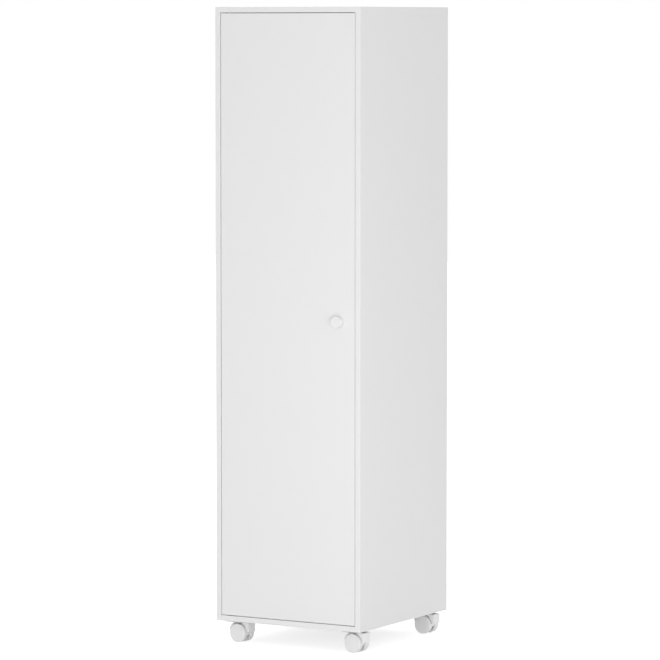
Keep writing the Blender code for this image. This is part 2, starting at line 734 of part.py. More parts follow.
def build_bag(wire_finish, fabric):
    """Wire ring and the open fabric bag whose hem folds outwards over it."""
    sections = [
        (
            WIRE_RADIUS * math.cos(2 * math.pi * step / WIRE_SIDES),
            WIRE_RADIUS * math.sin(2 * math.pi * step / WIRE_SIDES),
        )
        for step in range(WIRE_SIDES)
    ]
    ring = bridged([ring_outline(out, WIRE_Z + up) for out, up in sections], closed=True)
    place("bag_frame", to_mesh("bag_frame", ring, CLOTH_ANGLE), wire_finish)

    clear = WIRE_RADIUS + FIT
    hem = WIRE_Z - WIRE_RADIUS + FIT
    fold = WIRE_Z + clear
    crown = fold + BAG_FABRIC
    wall = BAG_BASE + BAG_BASE_RADIUS
    inner_base = BAG_BASE + BAG_FABRIC
    corner = BAG_BASE_RADIUS * (1 - math.sqrt(0.5))
    rings = [
        ring_outline(-clear - BAG_TAPER - BAG_BASE_RADIUS, BAG_BASE),
        ring_outline(-clear - BAG_TAPER - corner, BAG_BASE + corner),
        ring_outline(-clear - BAG_TAPER, wall),
        ring_outline(-clear, hem - WIRE_RADIUS),
        ring_outline(-clear, fold),
        ring_outline(clear, fold),
        ring_outline(clear, hem),
        ring_outline(clear + BAG_FABRIC, hem),
        ring_outline(clear + BAG_FABRIC, crown - BAG_HEM_ROUND),
        ring_outline(clear + BAG_FABRIC - BAG_HEM_ROUND, crown),
        ring_outline(BAG_HEM_ROUND - clear - BAG_FABRIC, crown),
        ring_outline(-clear - BAG_FABRIC, crown - BAG_HEM_ROUND),
        ring_outline(-clear - BAG_FABRIC, hem - WIRE_RADIUS),
        ring_outline(-clear - BAG_TAPER - BAG_FABRIC, wall),
        ring_outline(-clear - BAG_TAPER - BAG_BASE_RADIUS - BAG_FABRIC, inner_base),
    ]
    bag = bridged(rings, closed=False)
    place("laundry_bag", to_mesh("laundry_bag", bag, CLOTH_ANGLE), fabric)


def build_door(lacquer, steel, strike_finish):
    """Door board with its knob, pivots and strike plate, on an empty at the pivot axis."""
    hinge = pivot_empty("door_hinge", (PIVOT_X, PIVOT_Y, INNER_BASE))
    inverse = Matrix.Translation((-PIVOT_X, -PIVOT_Y, -INNER_BASE))

    def hang(name, mesh, finish):
        """Place a piece that is modelled in world coordinates under the hinge."""
        mesh.transform(inverse)
        place(name, mesh, finish, parent=hinge)

    half = INNER_HALF - DOOR_GAP
    cuts = []
    for name, z, level, turn in door_levels():
        plate_seats = pivot_screw_seats(z, turn)
        cuts += [pivot_recess(z, level), screws_at(PIVOT_SCREW, plate_seats, FIT)]
        plate = prism(pivot_plate_outline(), z, z - level * PIVOT_PLATE_THICKNESS, axis="Z")
        pin = turned(
            [
                (0, DOOR_GAP + PIVOT_PIN_REACH),
                (PIVOT_PIN_RADIUS - PIVOT_PIN_TIP, DOOR_GAP + PIVOT_PIN_REACH),
                (PIVOT_PIN_RADIUS, DOOR_GAP + PIVOT_PIN_REACH - PIVOT_PIN_TIP),
                (PIVOT_PIN_RADIUS, -PIVOT_PLATE_THICKNESS / 2),
                (0, -PIVOT_PLATE_THICKNESS / 2),
            ],
            PIN_STEPS,
        )
        mesh = worked(
            "door_pivot_" + name,
            plate,
            joined=[moved(pin, (PIVOT_X, PIVOT_Y, z), turn)],
            cut=[screws_at(PIVOT_SCREW, plate_seats, FIT)],
            smooth_angle=ROUND_ANGLE,
        )
        hang("door_pivot_" + name, mesh, steel)

    knob_seat = [((KNOB_X, DOOR_BACK, CATCH_Z), HEAD_REAR)]
    strike_back = DOOR_BACK + FIT + STRIKE_THICKNESS
    strike_seat = [((CATCH_X, strike_back, CATCH_Z), HEAD_REAR)]
    cuts.append(screws_at(KNOB_SCREW, knob_seat, FIT))
    cuts.append(screws_at(STRIKE_SCREW, strike_seat, FIT))
    board = box(
        (-half, FRONT, INNER_BASE + DOOR_GAP),
        (half, DOOR_BACK, INNER_TOP - DOOR_GAP),
    )
    hang("door_panel", worked("door_panel", board, cut=cuts), lacquer)

    rim = arc((KNOB_RADIUS - KNOB_RIM, KNOB_PROJECTION - KNOB_RIM), KNOB_RIM, math.pi / 2, 0, 2)
    profile = [(0, KNOB_PROJECTION), *rim, (KNOB_RADIUS, 0), (0, 0)]
    thread = cylinder(KNOB_SCREW.shank_radius + FIT, -FIT, KNOB_THREAD_DEPTH, SCREW_STEPS)
    knob = worked("door_knob", turned(profile, KNOB_STEPS), cut=[thread])
    knob.transform(Matrix.Translation((KNOB_X, FRONT - FIT, CATCH_Z)) @ AXIS_TO_FRONT.to_4x4())
    knob.shade_smooth()
    knob.set_sharp_from_angle(angle=ROUND_ANGLE)
    hang("door_knob", knob, lacquer)
    hang("knob_screw", to_mesh("knob_screw", screws_at(KNOB_SCREW, knob_seat), ROUND_ANGLE), steel)

    outline = rounded_rectangle(
        (CATCH_X - STRIKE_WIDTH / 2, CATCH_Z - STRIKE_HEIGHT / 2),
        (CATCH_X + STRIKE_WIDTH / 2, CATCH_Z + STRIKE_HEIGHT / 2),
        CATCH_EDGE,
        3,
    )
    plate = prism(outline, DOOR_BACK + FIT, strike_back)
    holes = screws_at(STRIKE_SCREW, strike_seat, FIT)
    hang("strike_plate", worked("strike_plate", plate, cut=[holes]), strike_finish)
    screw = screws_at(STRIKE_SCREW, strike_seat)
    hang("strike_screw", to_mesh("strike_screw", screw, ROUND_ANGLE), steel)


def hood_mesh():
    """Hood of one caster, about its wheel axle, with the swivel axis at x = -TRAIL.

    The outline is an arc on one side of the wheels, flat on top and a flat wall on the other
    side. A well on each side takes a part of a wheel, which stands out of it, and leaves the
    web that carries the axle. A round boss on top takes the kingpin and bears on the plate.
    """
    inner = WHEEL_RADIUS + HOOD_WHEEL_GAP
    boss_top = PLATE_BASE - FIT - WHEEL_RADIUS
    top = boss_top - HOOD_BOSS_RISE
    corner = (HOOD_REACH - HOOD_CORNER, top - HOOD_CORNER)
    left_end = (inner * math.cos(HOOD_LEFT_END), inner * math.sin(HOOD_LEFT_END))
    outline = (
        [(HOOD_REACH, HOOD_WALL_END)]
        + arc(corner, HOOD_CORNER, 0.0, math.pi / 2, 4)
        + arc((0, 0), HOOD_ARC, math.pi - math.asin(top / HOOD_ARC), HOOD_LEFT_END, 6)
        + [left_end]
        + arc((0, 0), WEB_HUB_RADIUS, WEB_HUB_START, 3 * math.pi / 2, 4)
        + arc((WEB_REACH - WEB_CORNER, WEB_CORNER - WEB_HUB_RADIUS), WEB_CORNER, -math.pi / 2, 0.0, 4)
        + [(WEB_REACH, HOOD_WALL_END)]
    )
    web_half = HOOD_WEB / 2
    boss = cylinder(HOOD_BOSS_RADIUS, top - HOOD_BOSS_DEPTH, boss_top, BOSS_STEPS)
    well = (inner, web_half, HOOD_WIDTH, WELL_STEPS)
    wells = gathered([
        moved(cylinder(*well), turn=turn) for turn in (AXIS_TO_FRONT, AXIS_TO_REAR)
    ])
    axle_bore = cylinder(AXLE_RADIUS + FIT, -web_half * 2, web_half * 2, PIN_STEPS)
    kingpin_bore = cylinder(KINGPIN_RADIUS + FIT, KINGPIN_ABOVE_AXLE, boss_top + FIT, PIN_STEPS)
    return worked(
        "hood",
        prism(outline, -HOOD_WIDTH / 2, HOOD_WIDTH / 2),
        joined=[moved(boss, (-TRAIL, 0, 0))],
        cut=[wells, moved(axle_bore, turn=AXIS_TO_FRONT), moved(kingpin_bore, (-TRAIL, 0, 0))],
        smooth_angle=HOOD_ANGLE,
    )


def wheel_mesh():
    """One wheel about Z: a closed outer disc at the top, a hub and rim below it."""
    reach = WHEEL_RADIUS / math.cos(math.pi / WHEEL_STEPS)
    profile = [
        (0, WHEEL_WIDTH),
        (reach - WHEEL_EDGE, WHEEL_WIDTH),
        (reach, WHEEL_WIDTH - WHEEL_EDGE),
        (reach, 0),
        (reach - WHEEL_RIM, 0),
        (reach - WHEEL_RIM, WHEEL_RECESS),
        (WHEEL_HUB_RADIUS, WHEEL_RECESS),
        (WHEEL_HUB_RADIUS, 0),
        (AXLE_RADIUS + FIT, 0),
        (AXLE_RADIUS + FIT, WHEEL_WIDTH - WHEEL_FACE),
        (0, WHEEL_WIDTH - WHEEL_FACE),
    ]
    return to_mesh("wheel", turned(profile, WHEEL_STEPS, half_step=True), WHEEL_ANGLE)


def build_caster_mounts(zinc, steel):
    """Top plate and kingpin of each caster, fixed to the bottom board."""
    half = PLATE_SIDE / 2
    outline = rounded_rectangle((-half, -half), (half, half), PLATE_CORNER, 4)
    plate = worked(
        "caster_plate",
        prism(outline, PLATE_BASE, PLATE_TOP, axis="Z"),
        cut=[
            cylinder(KINGPIN_RADIUS + FIT, PLATE_BASE - FIT, PLATE_TOP + FIT, PIN_STEPS),
            screws_at(CASTER_SCREW, plate_screw_seats(0, 0), FIT),
        ],
    )
    foot = WHEEL_RADIUS + KINGPIN_ABOVE_AXLE + KINGPIN_END_GAP
    head = PLATE_TOP + FIT
    crown = head + KINGPIN_HEAD - FIT
    kingpin = turned(
        [
            (0, crown),
            (KINGPIN_HEAD_RADIUS - KINGPIN_CHAMFER, crown),
            (KINGPIN_HEAD_RADIUS, crown - KINGPIN_CHAMFER),
            (KINGPIN_HEAD_RADIUS, head),
            (KINGPIN_RADIUS, head),
            (KINGPIN_RADIUS, foot),
            (0, foot),
        ],
        PIN_STEPS,
    )
    kingpin = to_mesh("kingpin", kingpin, ROUND_ANGLE)
    for name, x, y in caster_centres():
        place("caster_plate_" + name, plate, zinc, (x, y, 0))
        place("kingpin_" + name, kingpin, steel, (x, y, 0))


def build_casters(plastic, steel):
    """Hood, axle and two wheels of each caster, on an empty at its swivel axis."""
    hood = hood_mesh()
    wheel = wheel_mesh()
    axle = to_mesh(
        "axle",
        turned(
            [
                (0, AXLE_HALF),
                (AXLE_RADIUS - AXLE_TIP, AXLE_HALF),
                (AXLE_RADIUS, AXLE_HALF - AXLE_TIP),
                (AXLE_RADIUS, AXLE_TIP - AXLE_HALF),
                (AXLE_RADIUS - AXLE_TIP, -AXLE_HALF),
                (0, -AXLE_HALF),
            ],
            PIN_STEPS,
        ),
        ROUND_ANGLE,
    )
    wheel_start = HOOD_WEB / 2 + WHEEL_SIDE_GAP
    for name, x, y in caster_centres():
        swivel = pivot_empty("swivel_" + name, (x, y, 0), CASTER_YAW)
        centre = (TRAIL, 0, WHEEL_RADIUS)
        place("caster_hood_" + name, hood, plastic, centre, parent=swivel)
        place("caster_axle_" + name, axle, steel, centre, (math.pi / 2, 0, 0), swivel)
        near = (TRAIL, -wheel_start, WHEEL_RADIUS)
        far = (TRAIL, wheel_start, WHEEL_RADIUS)
        place("wheel_outer_" + name, wheel, plastic, near, (math.pi / 2, 0, 0), swivel)
        place("wheel_inner_" + name, wheel, plastic, far, (-math.pi / 2, 0, 0), swivel)


def main():
    """Build the whole cabinet."""
    clear_scene()
    lacquer = material("white_lacquer", (0.80, 0.80, 0.80), 0.30)
    back_finish = material("white_foil_board", (0.76, 0.76, 0.76), 0.45)
    hidden_wood = material("beech", (0.62, 0.44, 0.27), 0.60)
    steel = material("nickelled_steel", (0.62, 0.61, 0.59), 0.28, 1.0)
    zinc = material("zinc_plated_steel", (0.58, 0.59, 0.60), 0.38, 1.0)
    rail_finish = material("white_painted_steel", (0.78, 0.78, 0.78), 0.40)
    plastic = material("white_plastic", (0.78, 0.78, 0.79), 0.38)
    nylon = material("natural_nylon", (0.74, 0.73, 0.68), 0.45)
    magnet_finish = material("magnet_black", (0.06, 0.06, 0.065), 0.50)
    fabric = material("linen_canvas", (0.66, 0.62, 0.55), 0.90)

    build_carcass(lacquer, back_finish, hidden_wood)
    build_shelves(lacquer, steel)
    build_sockets(steel, nylon)
    build_catch(plastic, magnet_finish)
    build_bag_rails(rail_finish)
    build_bag(steel, fabric)
    build_door(lacquer, steel, zinc)
    build_caster_mounts(zinc, steel)
    build_casters(plastic, steel)


main()
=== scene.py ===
"""Laundry cabinet, dressed: a tall white lacquered cabinet on four hooded twin-wheel casters."""

import json
import logging
import math
from dataclasses import dataclass, field
from enum import Enum
from typing import Callable, Iterable, Sequence

import bmesh
import bpy
from mathutils import Matrix, Vector


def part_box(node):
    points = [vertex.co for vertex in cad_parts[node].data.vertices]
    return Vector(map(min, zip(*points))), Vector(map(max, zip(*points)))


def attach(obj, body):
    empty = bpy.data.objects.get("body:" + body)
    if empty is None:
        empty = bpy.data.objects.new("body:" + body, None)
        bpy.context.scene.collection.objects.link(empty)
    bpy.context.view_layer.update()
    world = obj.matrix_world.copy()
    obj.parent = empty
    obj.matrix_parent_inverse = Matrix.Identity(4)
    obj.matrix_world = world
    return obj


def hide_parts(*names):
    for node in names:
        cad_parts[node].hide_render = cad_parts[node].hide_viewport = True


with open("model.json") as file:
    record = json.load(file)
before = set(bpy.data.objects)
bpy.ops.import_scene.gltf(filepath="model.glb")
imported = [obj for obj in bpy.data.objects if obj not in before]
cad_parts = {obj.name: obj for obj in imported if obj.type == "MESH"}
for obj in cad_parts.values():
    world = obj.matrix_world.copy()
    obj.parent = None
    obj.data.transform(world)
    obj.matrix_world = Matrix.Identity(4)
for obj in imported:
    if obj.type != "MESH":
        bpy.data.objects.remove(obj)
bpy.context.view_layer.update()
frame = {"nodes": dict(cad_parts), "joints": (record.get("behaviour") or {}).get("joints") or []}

LOG = logging.getLogger("laundry_cabinet")

Body = bmesh.types.BMesh
Mesh = bpy.types.Mesh
Socket = bpy.types.NodeSocket
Given = Callable[[str], Socket]
Point2 = tuple[float, float]
Seat = tuple[tuple[float, float, float], Matrix]

# Clearance between pieces that sit in one another.
FIT = 0.0003
# Distances below which points are merged, in made bodies and in CAD nodes.
MERGE = 1e-7
CAD_MERGE = 1e-6
# Angle below which a CAD node's neighbouring faces are joined, in degrees.
CAD_FLAT = 0.5
# CAD nodes' edges sharper than this many degrees are softened.
CAD_SOFTEN_ANGLE = 50.0
# Steps of arcs: small tips, a disc's edge, corners, the caster's web and hood.
TIP_STEPS = 4
EDGE_STEPS = 6
CORNER_STEPS = 10
WEB_STEPS = 14
HOOD_STEPS = 30
# Steps round turned pieces and bores.
FINE_STEPS = 128
BOSS_STEPS = 64
LATHE_STEPS = 48
BORE_STEPS = 40
PIN_HOLE_STEPS = 28
# Share of a screw head's height that its straight rim takes.
HEAD_RIM_SHARE = 0.12
# Radius of the washer's softened edges.
WASHER_SOFTEN = 0.0001
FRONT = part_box("side_panel_left")[0].y
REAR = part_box("side_panel_left")[1].y


class Facing(Enum):
    """Turn that brings a fastener's or lathe piece's axis, +Z, to a direction."""

    UP = "up"
    DOWN = "down"
    RIGHT = "right"
    LEFT = "left"
    FRONT = "front"
    REAR = "rear"

    @property
    def turn(self) -> Matrix:
        """Rotation for this direction."""
        quarter = math.pi / 2
        return {
            Facing.UP: Matrix.Identity(3),
            Facing.DOWN: Matrix.Rotation(math.pi, 3, "X"),
            Facing.RIGHT: Matrix.Rotation(quarter, 3, "Y"),
            Facing.LEFT: Matrix.Rotation(-quarter, 3, "Y"),
            Facing.FRONT: Matrix.Rotation(quarter, 3, "X"),
            Facing.REAR: Matrix.Rotation(-quarter, 3, "X"),
        }[self]


class Slot(Enum):
    """Material slots of the record that the pieces take their finish from."""

    LACQUER = "lacquer"
    BACK_BOARD = "back_board"
    BEECH = "beech"
    NICKEL = "nickelled_steel"
    ZINC = "zinc_steel"
    PAINTED = "painted_steel"
    CASTER = "caster_plastic"
    NYLON = "nylon"
    MAGNET = "magnet"
    CANVAS = "canvas"


# Node helpers


@dataclass
class Graph:
    """Node tree under construction."""

    tree: bpy.types.NodeTree

    def add(self, kind: str, inputs: dict | None = None, **settings: object) -> bpy.types.Node:
        """Add a node.

        Args:
            kind: the node's type name.
            inputs: values, or sockets to link, by input name or number.
            settings: properties of the node.

        Returns:
            The new node.
        """
        node = self.tree.nodes.new(kind)
        for name, value in settings.items():
            setattr(node, name, value)
        self.fill(node, inputs or {})
        return node

    def fill(self, node: bpy.types.Node, inputs: dict) -> None:
        """Set or link a node's inputs by name or number."""
        for name, value in inputs.items():
            if isinstance(value, Socket):
                self.tree.links.new(value, node.inputs[name])
            else:
                node.inputs[name].default_value = value

    def math(self, operation: str, *values: object) -> Socket:
        """Result of a math node on values or sockets."""
        node = self.add("ShaderNodeMath", dict(enumerate(values)), operation=operation)
        return node.outputs[0]

    def vector(self, operation: str, *values: object) -> Socket:
        """Vector result of a vector math node on values or sockets."""
        node = self.add("ShaderNodeVectorMath", dict(enumerate(values)), operation=operation)
        return node.outputs[0]


class EffectGroup:
    """Shader node group shared by several finishes, built once.

    Each subclass names its inputs and outputs and wires them in `wire`.
    """

    title = "effect"
    inputs: tuple[tuple[str, str, float], ...] = ()
    outputs: tuple[tuple[str, str], ...] = ()
    _built: dict[str, bpy.types.NodeTree] = {}

    @classmethod
    def wire(cls, graph: Graph, given: Given) -> dict:
        """Wire the group; returns its output sockets by name."""
        raise NotImplementedError

    @classmethod
    def tree(cls) -> bpy.types.NodeTree:
        """The group's tree, made on first use."""
        if cls.title not in cls._built:
            tree = bpy.data.node_groups.new(cls.title, "ShaderNodeTree")
            for name, kind, default in cls.inputs:
                socket = tree.interface.new_socket(name, in_out="INPUT", socket_type=kind)
                if kind == "NodeSocketFloat":
                    socket.default_value = default
            for name, kind in cls.outputs:
                tree.interface.new_socket(name, in_out="OUTPUT", socket_type=kind)
            graph = Graph(tree)
            entry = graph.add("NodeGroupInput")
            made = cls.wire(graph, lambda name: entry.outputs[name])
            graph.add("NodeGroupOutput", made)
            cls._built[cls.title] = tree
        return cls._built[cls.title]

    @classmethod
    def place(cls, graph: Graph, values: dict) -> bpy.types.Node:
        """Place the group in a material with its own values."""
        return graph.add("ShaderNodeGroup", values, node_tree=cls.tree())


class SprayTexture(EffectGroup):
    """Fine skin of a sprayed or moulded surface, with a slow drift of tone and gloss."""

    title = "spray_texture"
    inputs = (
        ("Coordinates", "NodeSocketVector", 0.0),
        ("Pebbles per Metre", "NodeSocketFloat", 600.0),
        ("Drift per Metre", "NodeSocketFloat", 3.0),
        ("Drift", "NodeSocketFloat", 0.01),
        ("Gloss", "NodeSocketFloat", 0.4),
        ("Gloss Spread", "NodeSocketFloat", 0.04),
    )
    outputs = (
        ("Height", "NodeSocketFloat"),
        ("Tone", "NodeSocketFloat"),
        ("Roughness", "NodeSocketFloat"),
    )

    @classmethod
    def wire(cls, graph: Graph, given: Given) -> dict:
        """Fine noise for the height, slow noise for tone and roughness."""
        fine = graph.add(
            "ShaderNodeTexNoise",
            {"Vector": given("Coordinates"), "Scale": given("Pebbles per Metre"), "Detail": 2.0},
        )
        slow = graph.add(
            "ShaderNodeTexNoise",
            {"Vector": given("Coordinates"), "Scale": given("Drift per Metre"), "Detail": 3.0},
        )
        centred = graph.math("SUBTRACT", slow.outputs["Fac"], 0.5)
        tone = graph.math("MULTIPLY_ADD", centred, given("Drift"), 1.0)
        rough = graph.math("MULTIPLY_ADD", centred, given("Gloss Spread"), given("Gloss"))
        return {"Height": fine.outputs["Fac"], "Tone": tone, "Roughness": rough}


class DirectionalGrain(EffectGroup):
    """Long fine streaks along one axis, as in brushed metal, foil grain or raw wood."""

    title = "directional_grain"
    inputs = (
        ("Coordinates", "NodeSocketVector", 0.0),
        ("Stretch", "NodeSocketVector", 0.0),
        ("Softness", "NodeSocketFloat", 0.5),
    )
    outputs = (("Height", "NodeSocketFloat"), ("Mask", "NodeSocketFloat"))

    @classmethod
    def wire(cls, graph: Graph, given: Given) -> dict:
        """Noise on stretched coordinates, and a softer mask from the same streaks."""
        stretched = graph.vector("MULTIPLY", given("Coordinates"), given("Stretch"))
        noise = graph.add(
            "ShaderNodeTexNoise",
            {"Vector": stretched, "Scale": 1.0, "Detail": 4.0, "Roughness": 0.6},
        )
        low = graph.math("SUBTRACT", 0.5, given("Softness"))
        high = graph.math("ADD", 0.5, given("Softness"))
        mask = graph.add(
            "ShaderNodeMapRange",
            {"Value": noise.outputs["Fac"], "From Min": low, "From Max": high},
        )
        return {"Height": noise.outputs["Fac"], "Mask": mask.outputs["Result"]}


class PlainWeave(EffectGroup):
    """Over-and-under weave on surface coordinates in metres."""

    title = "plain_weave"
    inputs = (
        ("Coordinates", "NodeSocketVector", 0.0),
        ("Threads per Metre", "NodeSocketFloat", 900.0),
        ("Unevenness", "NodeSocketFloat", 0.3),
    )
    outputs = (("Height", "NodeSocketFloat"), ("Slub", "NodeSocketFloat"))

    @classmethod
    def wire(cls, graph: Graph, given: Given) -> dict:
        """Product of two sine waves for the crossings, with slubs along the threads."""
        split = graph.add("ShaderNodeSeparateXYZ", {"Vector": given("Coordinates")})
        turns = graph.math("MULTIPLY", given("Threads per Metre"), math.pi)
        across = graph.math("SINE", graph.math("MULTIPLY", split.outputs["X"], turns))
        along = graph.math("SINE", graph.math("MULTIPLY", split.outputs["Y"], turns))
        crossing = graph.math("MULTIPLY", across, along)
        rounded = graph.math("ABSOLUTE", crossing)
        slub = graph.add(
            "ShaderNodeTexNoise",
            {
                "Vector": graph.vector("MULTIPLY", given("Coordinates"), (1.0, 0.08, 1.0)),
                "Scale": graph.math("MULTIPLY", given("Threads per Metre"), 0.5),
                "Detail": 2.0,
            },
        )
        uneven = graph.math("MULTIPLY", slub.outputs["Fac"], given("Unevenness"))
        return {"Height": graph.math("ADD", rounded, uneven), "Slub": slub.outputs["Fac"]}


# Finishes


@dataclass(frozen=True)
class Finish:
    """Base of every finish.

    Attributes:
        name: name of the material.
        colour: base colour, linear.
        slot: the record's material slot that it stands for.
    """

    name: str
    colour: tuple[float, float, float]
    slot: Slot

    def material(self) -> bpy.types.Material:
        """The finish as a material, made on first use."""
        found = bpy.data.materials.get(self.name)
        if found is None:
            found = bpy.data.materials.new(self.name)
            found.use_nodes = True
            found.diffuse_color = (*self.colour, 1.0)
            graph = Graph(found.node_tree)
            shader = found.node_tree.nodes["Principled BSDF"]
            self.dress(graph, shader)
        return found

    def dress(self, graph: Graph, shader: bpy.types.Node) -> None:
        """Wire the shader; each kind of finish has its own way."""
        raise NotImplementedError

    @staticmethod
    def object_coordinates(graph: Graph) -> Socket:
        """Object coordinates, in metres."""
        return graph.add("ShaderNodeTexCoord").outputs["Object"]

    def toned(self, graph: Graph, tone: Socket) -> Socket:
        """Base colour times a tone."""
        return graph.vector("MULTIPLY", self.colour, tone)

    @staticmethod
    def bumped(graph: Graph, height: Socket, depth: float) -> Socket:
        """Normal that follows a height, of the given depth in metres."""
        bump = graph.add("ShaderNodeBump", {"Height": height, "Strength": 1.0, "Distance": depth})
        return bump.outputs["Normal"]


@dataclass(frozen=True)
class SprayedFinish(Finish):
    """Lacquer, powder coat or moulded plastic: a pebbled skin with a slow drift of tone."""

    roughness: float = 0.4
    gloss_spread: float = 0.04
    pebbles: float = 600.0
    depth: float = 0.00001
    drift: float = 0.012
    drift_scale: float = 3.0
    coat: float = 0.0
    subsurface: float = 0.0
    subsurface_scale: float = 0.002

    def dress(self, graph: Graph, shader: bpy.types.Node) -> None:
        """Tone, roughness and a fine height from one shared group."""
        skin = SprayTexture.place(
            graph,
            {
                "Coordinates": self.object_coordinates(graph),
                "Pebbles per Metre": self.pebbles,
                "Drift per Metre": self.drift_scale,
                "Drift": self.drift,
                "Gloss": self.roughness,
                "Gloss Spread": self.gloss_spread,
            },
        )
        graph.fill(
            shader,
            {
                "Base Color": self.toned(graph, skin.outputs["Tone"]),
                "Roughness": skin.outputs["Roughness"],
                "Coat Weight": self.coat,
                "Coat Roughness": self.roughness / 2,
                "Subsurface Weight": self.subsurface,
                "Subsurface Scale": self.subsurface_scale,
                "Normal": self.bumped(graph, skin.outputs["Height"], self.depth),
            },
        )


@dataclass(frozen=True)
class GrainedFinish(Finish):
    """Board with a long grain, raw or under foil."""

    roughness: float = 0.5
    stretch: tuple[float, float, float] = (260.0, 260.0, 9.0)
    contrast: float = 0.05
    softness: float = 0.35
    gloss_spread: float = 0.06
    depth: float = 0.00002

    def dress(self, graph: Graph, shader: bpy.types.Node) -> None:
        """Grain for tone and height."""
        grain = DirectionalGrain.place(
            graph,
            {
                "Coordinates": self.object_coordinates(graph),
                "Stretch": self.stretch,
                "Softness": self.softness,
            },
        )
        mask = grain.outputs["Mask"]
        dark = graph.math("MULTIPLY", mask, self.contrast)
        graph.fill(
            shader,
            {
                "Base Color": self.toned(graph, graph.math("SUBTRACT", 1.0, dark)),
                "Roughness": graph.math("MULTIPLY_ADD", mask, self.gloss_spread, self.roughness),
                "Normal": self.bumped(graph, grain.outputs["Height"], self.depth),
            },
        )


@dataclass(frozen=True)
class MetalFinish(Finish):
    """Plated or drawn steel."""

    roughness: float = 0.3
    stretch: tuple[float, float, float] = (2500.0, 2500.0, 120.0)
    softness: float = 0.3
    spread: float = 0.15
    depth: float = 0.000004
    spangle: float = 0.0
    crystals: float = 450.0

    def dress(self, graph: Graph, shader: bpy.types.Node) -> None:
        """Streaks for roughness and height, and crystals in the tone where it is plated."""
        place = self.object_coordinates(graph)
        grain = DirectionalGrain.place(
            graph,
            {"Coordinates": place, "Stretch": self.stretch, "Softness": self.softness},
        )
        crystals = graph.add("ShaderNodeTexVoronoi", {"Vector": place, "Scale": self.crystals})
        shade = graph.add("ShaderNodeSeparateColor", {"Color": crystals.outputs["Color"]})
        tone = graph.math("MULTIPLY_ADD", shade.outputs["Red"], self.spangle, 1.0 - self.spangle)
        rough = graph.math("MULTIPLY_ADD", grain.outputs["Mask"], self.spread, self.roughness)
        graph.fill(
            shader,
            {
                "Base Color": self.toned(graph, tone),
                "Roughness": rough,
                "Metallic": 1.0,
                "Normal": self.bumped(graph, grain.outputs["Height"], self.depth),
            },
        )


@dataclass(frozen=True)
class WovenFinish(Finish):
    """Cloth on the piece's own surface coordinates."""

    roughness: float = 0.85
    threads: float = 900.0
    unevenness: float = 0.35
    # hollow: depth of the painted shade in the weave's hollows, as a share of the tone.
    hollow: float = 0.14
    slub: float = 0.08
    slub_floor: float = 0.95
    depth: float = 0.00035
    sheen: float = 0.3

    def dress(self, graph: Graph, shader: bpy.types.Node) -> None:
        """Weave for height and for a painted shade in its hollows, slubs for tone."""
        surface = graph.add("ShaderNodeUVMap", uv_map="cloth").outputs["UV"]
        weave = PlainWeave.place(
            graph,
            {
                "Coordinates": surface,
                "Threads per Metre": self.threads,
                "Unevenness": self.unevenness,
            },
        )
        height = weave.outputs["Height"]
        # Painted shade: the tone is darker where the weave's height is low.
        hollow = graph.math("MULTIPLY_ADD", height, self.hollow, 1.0 - self.hollow)
        slub = graph.math("MULTIPLY_ADD", weave.outputs["Slub"], self.slub, self.slub_floor)
        graph.fill(
            shader,
            {
                "Base Color": self.toned(graph, graph.math("MULTIPLY", hollow, slub)),
                "Roughness": self.roughness,
                "Sheen Weight": self.sheen,
                "Normal": self.bumped(graph, height, self.depth),
            },
        )


WHITE = (0.80, 0.80, 0.80)
LACQUER = SprayedFinish(
    "satin_lacquer", WHITE, Slot.LACQUER, roughness=0.36, pebbles=420.0, depth=0.000006,
    drift=0.008, coat=0.15,
)
FOIL = GrainedFinish("white_foil_board", (0.76, 0.76, 0.755), Slot.BACK_BOARD, roughness=0.5)
SHELF_EDGE = SprayedFinish(
    "shelf_edge_band", (0.77, 0.77, 0.765), Slot.LACQUER, roughness=0.42, pebbles=900.0,
)
RAW_BEECH = GrainedFinish(
    "raw_beech", (0.62, 0.44, 0.27), Slot.BEECH, roughness=0.65, contrast=0.25,
    stretch=(900.0, 14.0, 900.0), depth=0.00008,
)
NICKEL = MetalFinish("bright_nickel", (0.74, 0.72, 0.68), Slot.NICKEL, roughness=0.18)
ZINC = MetalFinish(
    "zinc_plate", (0.66, 0.68, 0.70), Slot.ZINC, roughness=0.34, spangle=0.12,
    stretch=(400.0, 400.0, 400.0),
)
# Steel painted dark grey so the caster plates' edges read as the painted shade under the cabinet's
# bottom edge.
CASTER_PLATE_DARK_AS_SHADE = MetalFinish(
    "dull_pressed_steel", (0.24, 0.24, 0.25), Slot.ZINC, roughness=0.5, spangle=0.1,
    stretch=(400.0, 400.0, 400.0),
)
# Black nickel is a real plating; its dark tone is also painted shade, so the pivots read as part
# of the door gap's shadow line.
PIVOT_DARK_NICKEL_AS_GAP_SHADE = MetalFinish("black_nickel", (0.17, 0.165, 0.16), Slot.NICKEL, roughness=0.32)
POWDER = SprayedFinish(
    "powder_coat", (0.78, 0.78, 0.775), Slot.PAINTED, roughness=0.48, pebbles=1500.0,
    depth=0.00003, drift=0.01, drift_scale=12.0,
)
CASTER_WHITE = SprayedFinish(
    "moulded_caster_white", (0.84, 0.84, 0.84), Slot.CASTER, roughness=0.34, pebbles=1400.0,
    depth=0.00001, drift=0.015, drift_scale=30.0, subsurface=0.04,
)
NYLON = SprayedFinish(
    "moulded_nylon", (0.74, 0.74, 0.72), Slot.NYLON, roughness=0.45, pebbles=1800.0,
    depth=0.00001, drift=0.02, drift_scale=40.0, subsurface=0.08,
)
FERRITE = SprayedFinish(
    "ferrite_magnet", (0.045, 0.045, 0.05), Slot.MAGNET, roughness=0.6, pebbles=2600.0,
    depth=0.00004, drift=0.2, drift_scale=90.0,
)
CANVAS = WovenFinish("bag_canvas", (0.69, 0.66, 0.60), Slot.CANVAS)
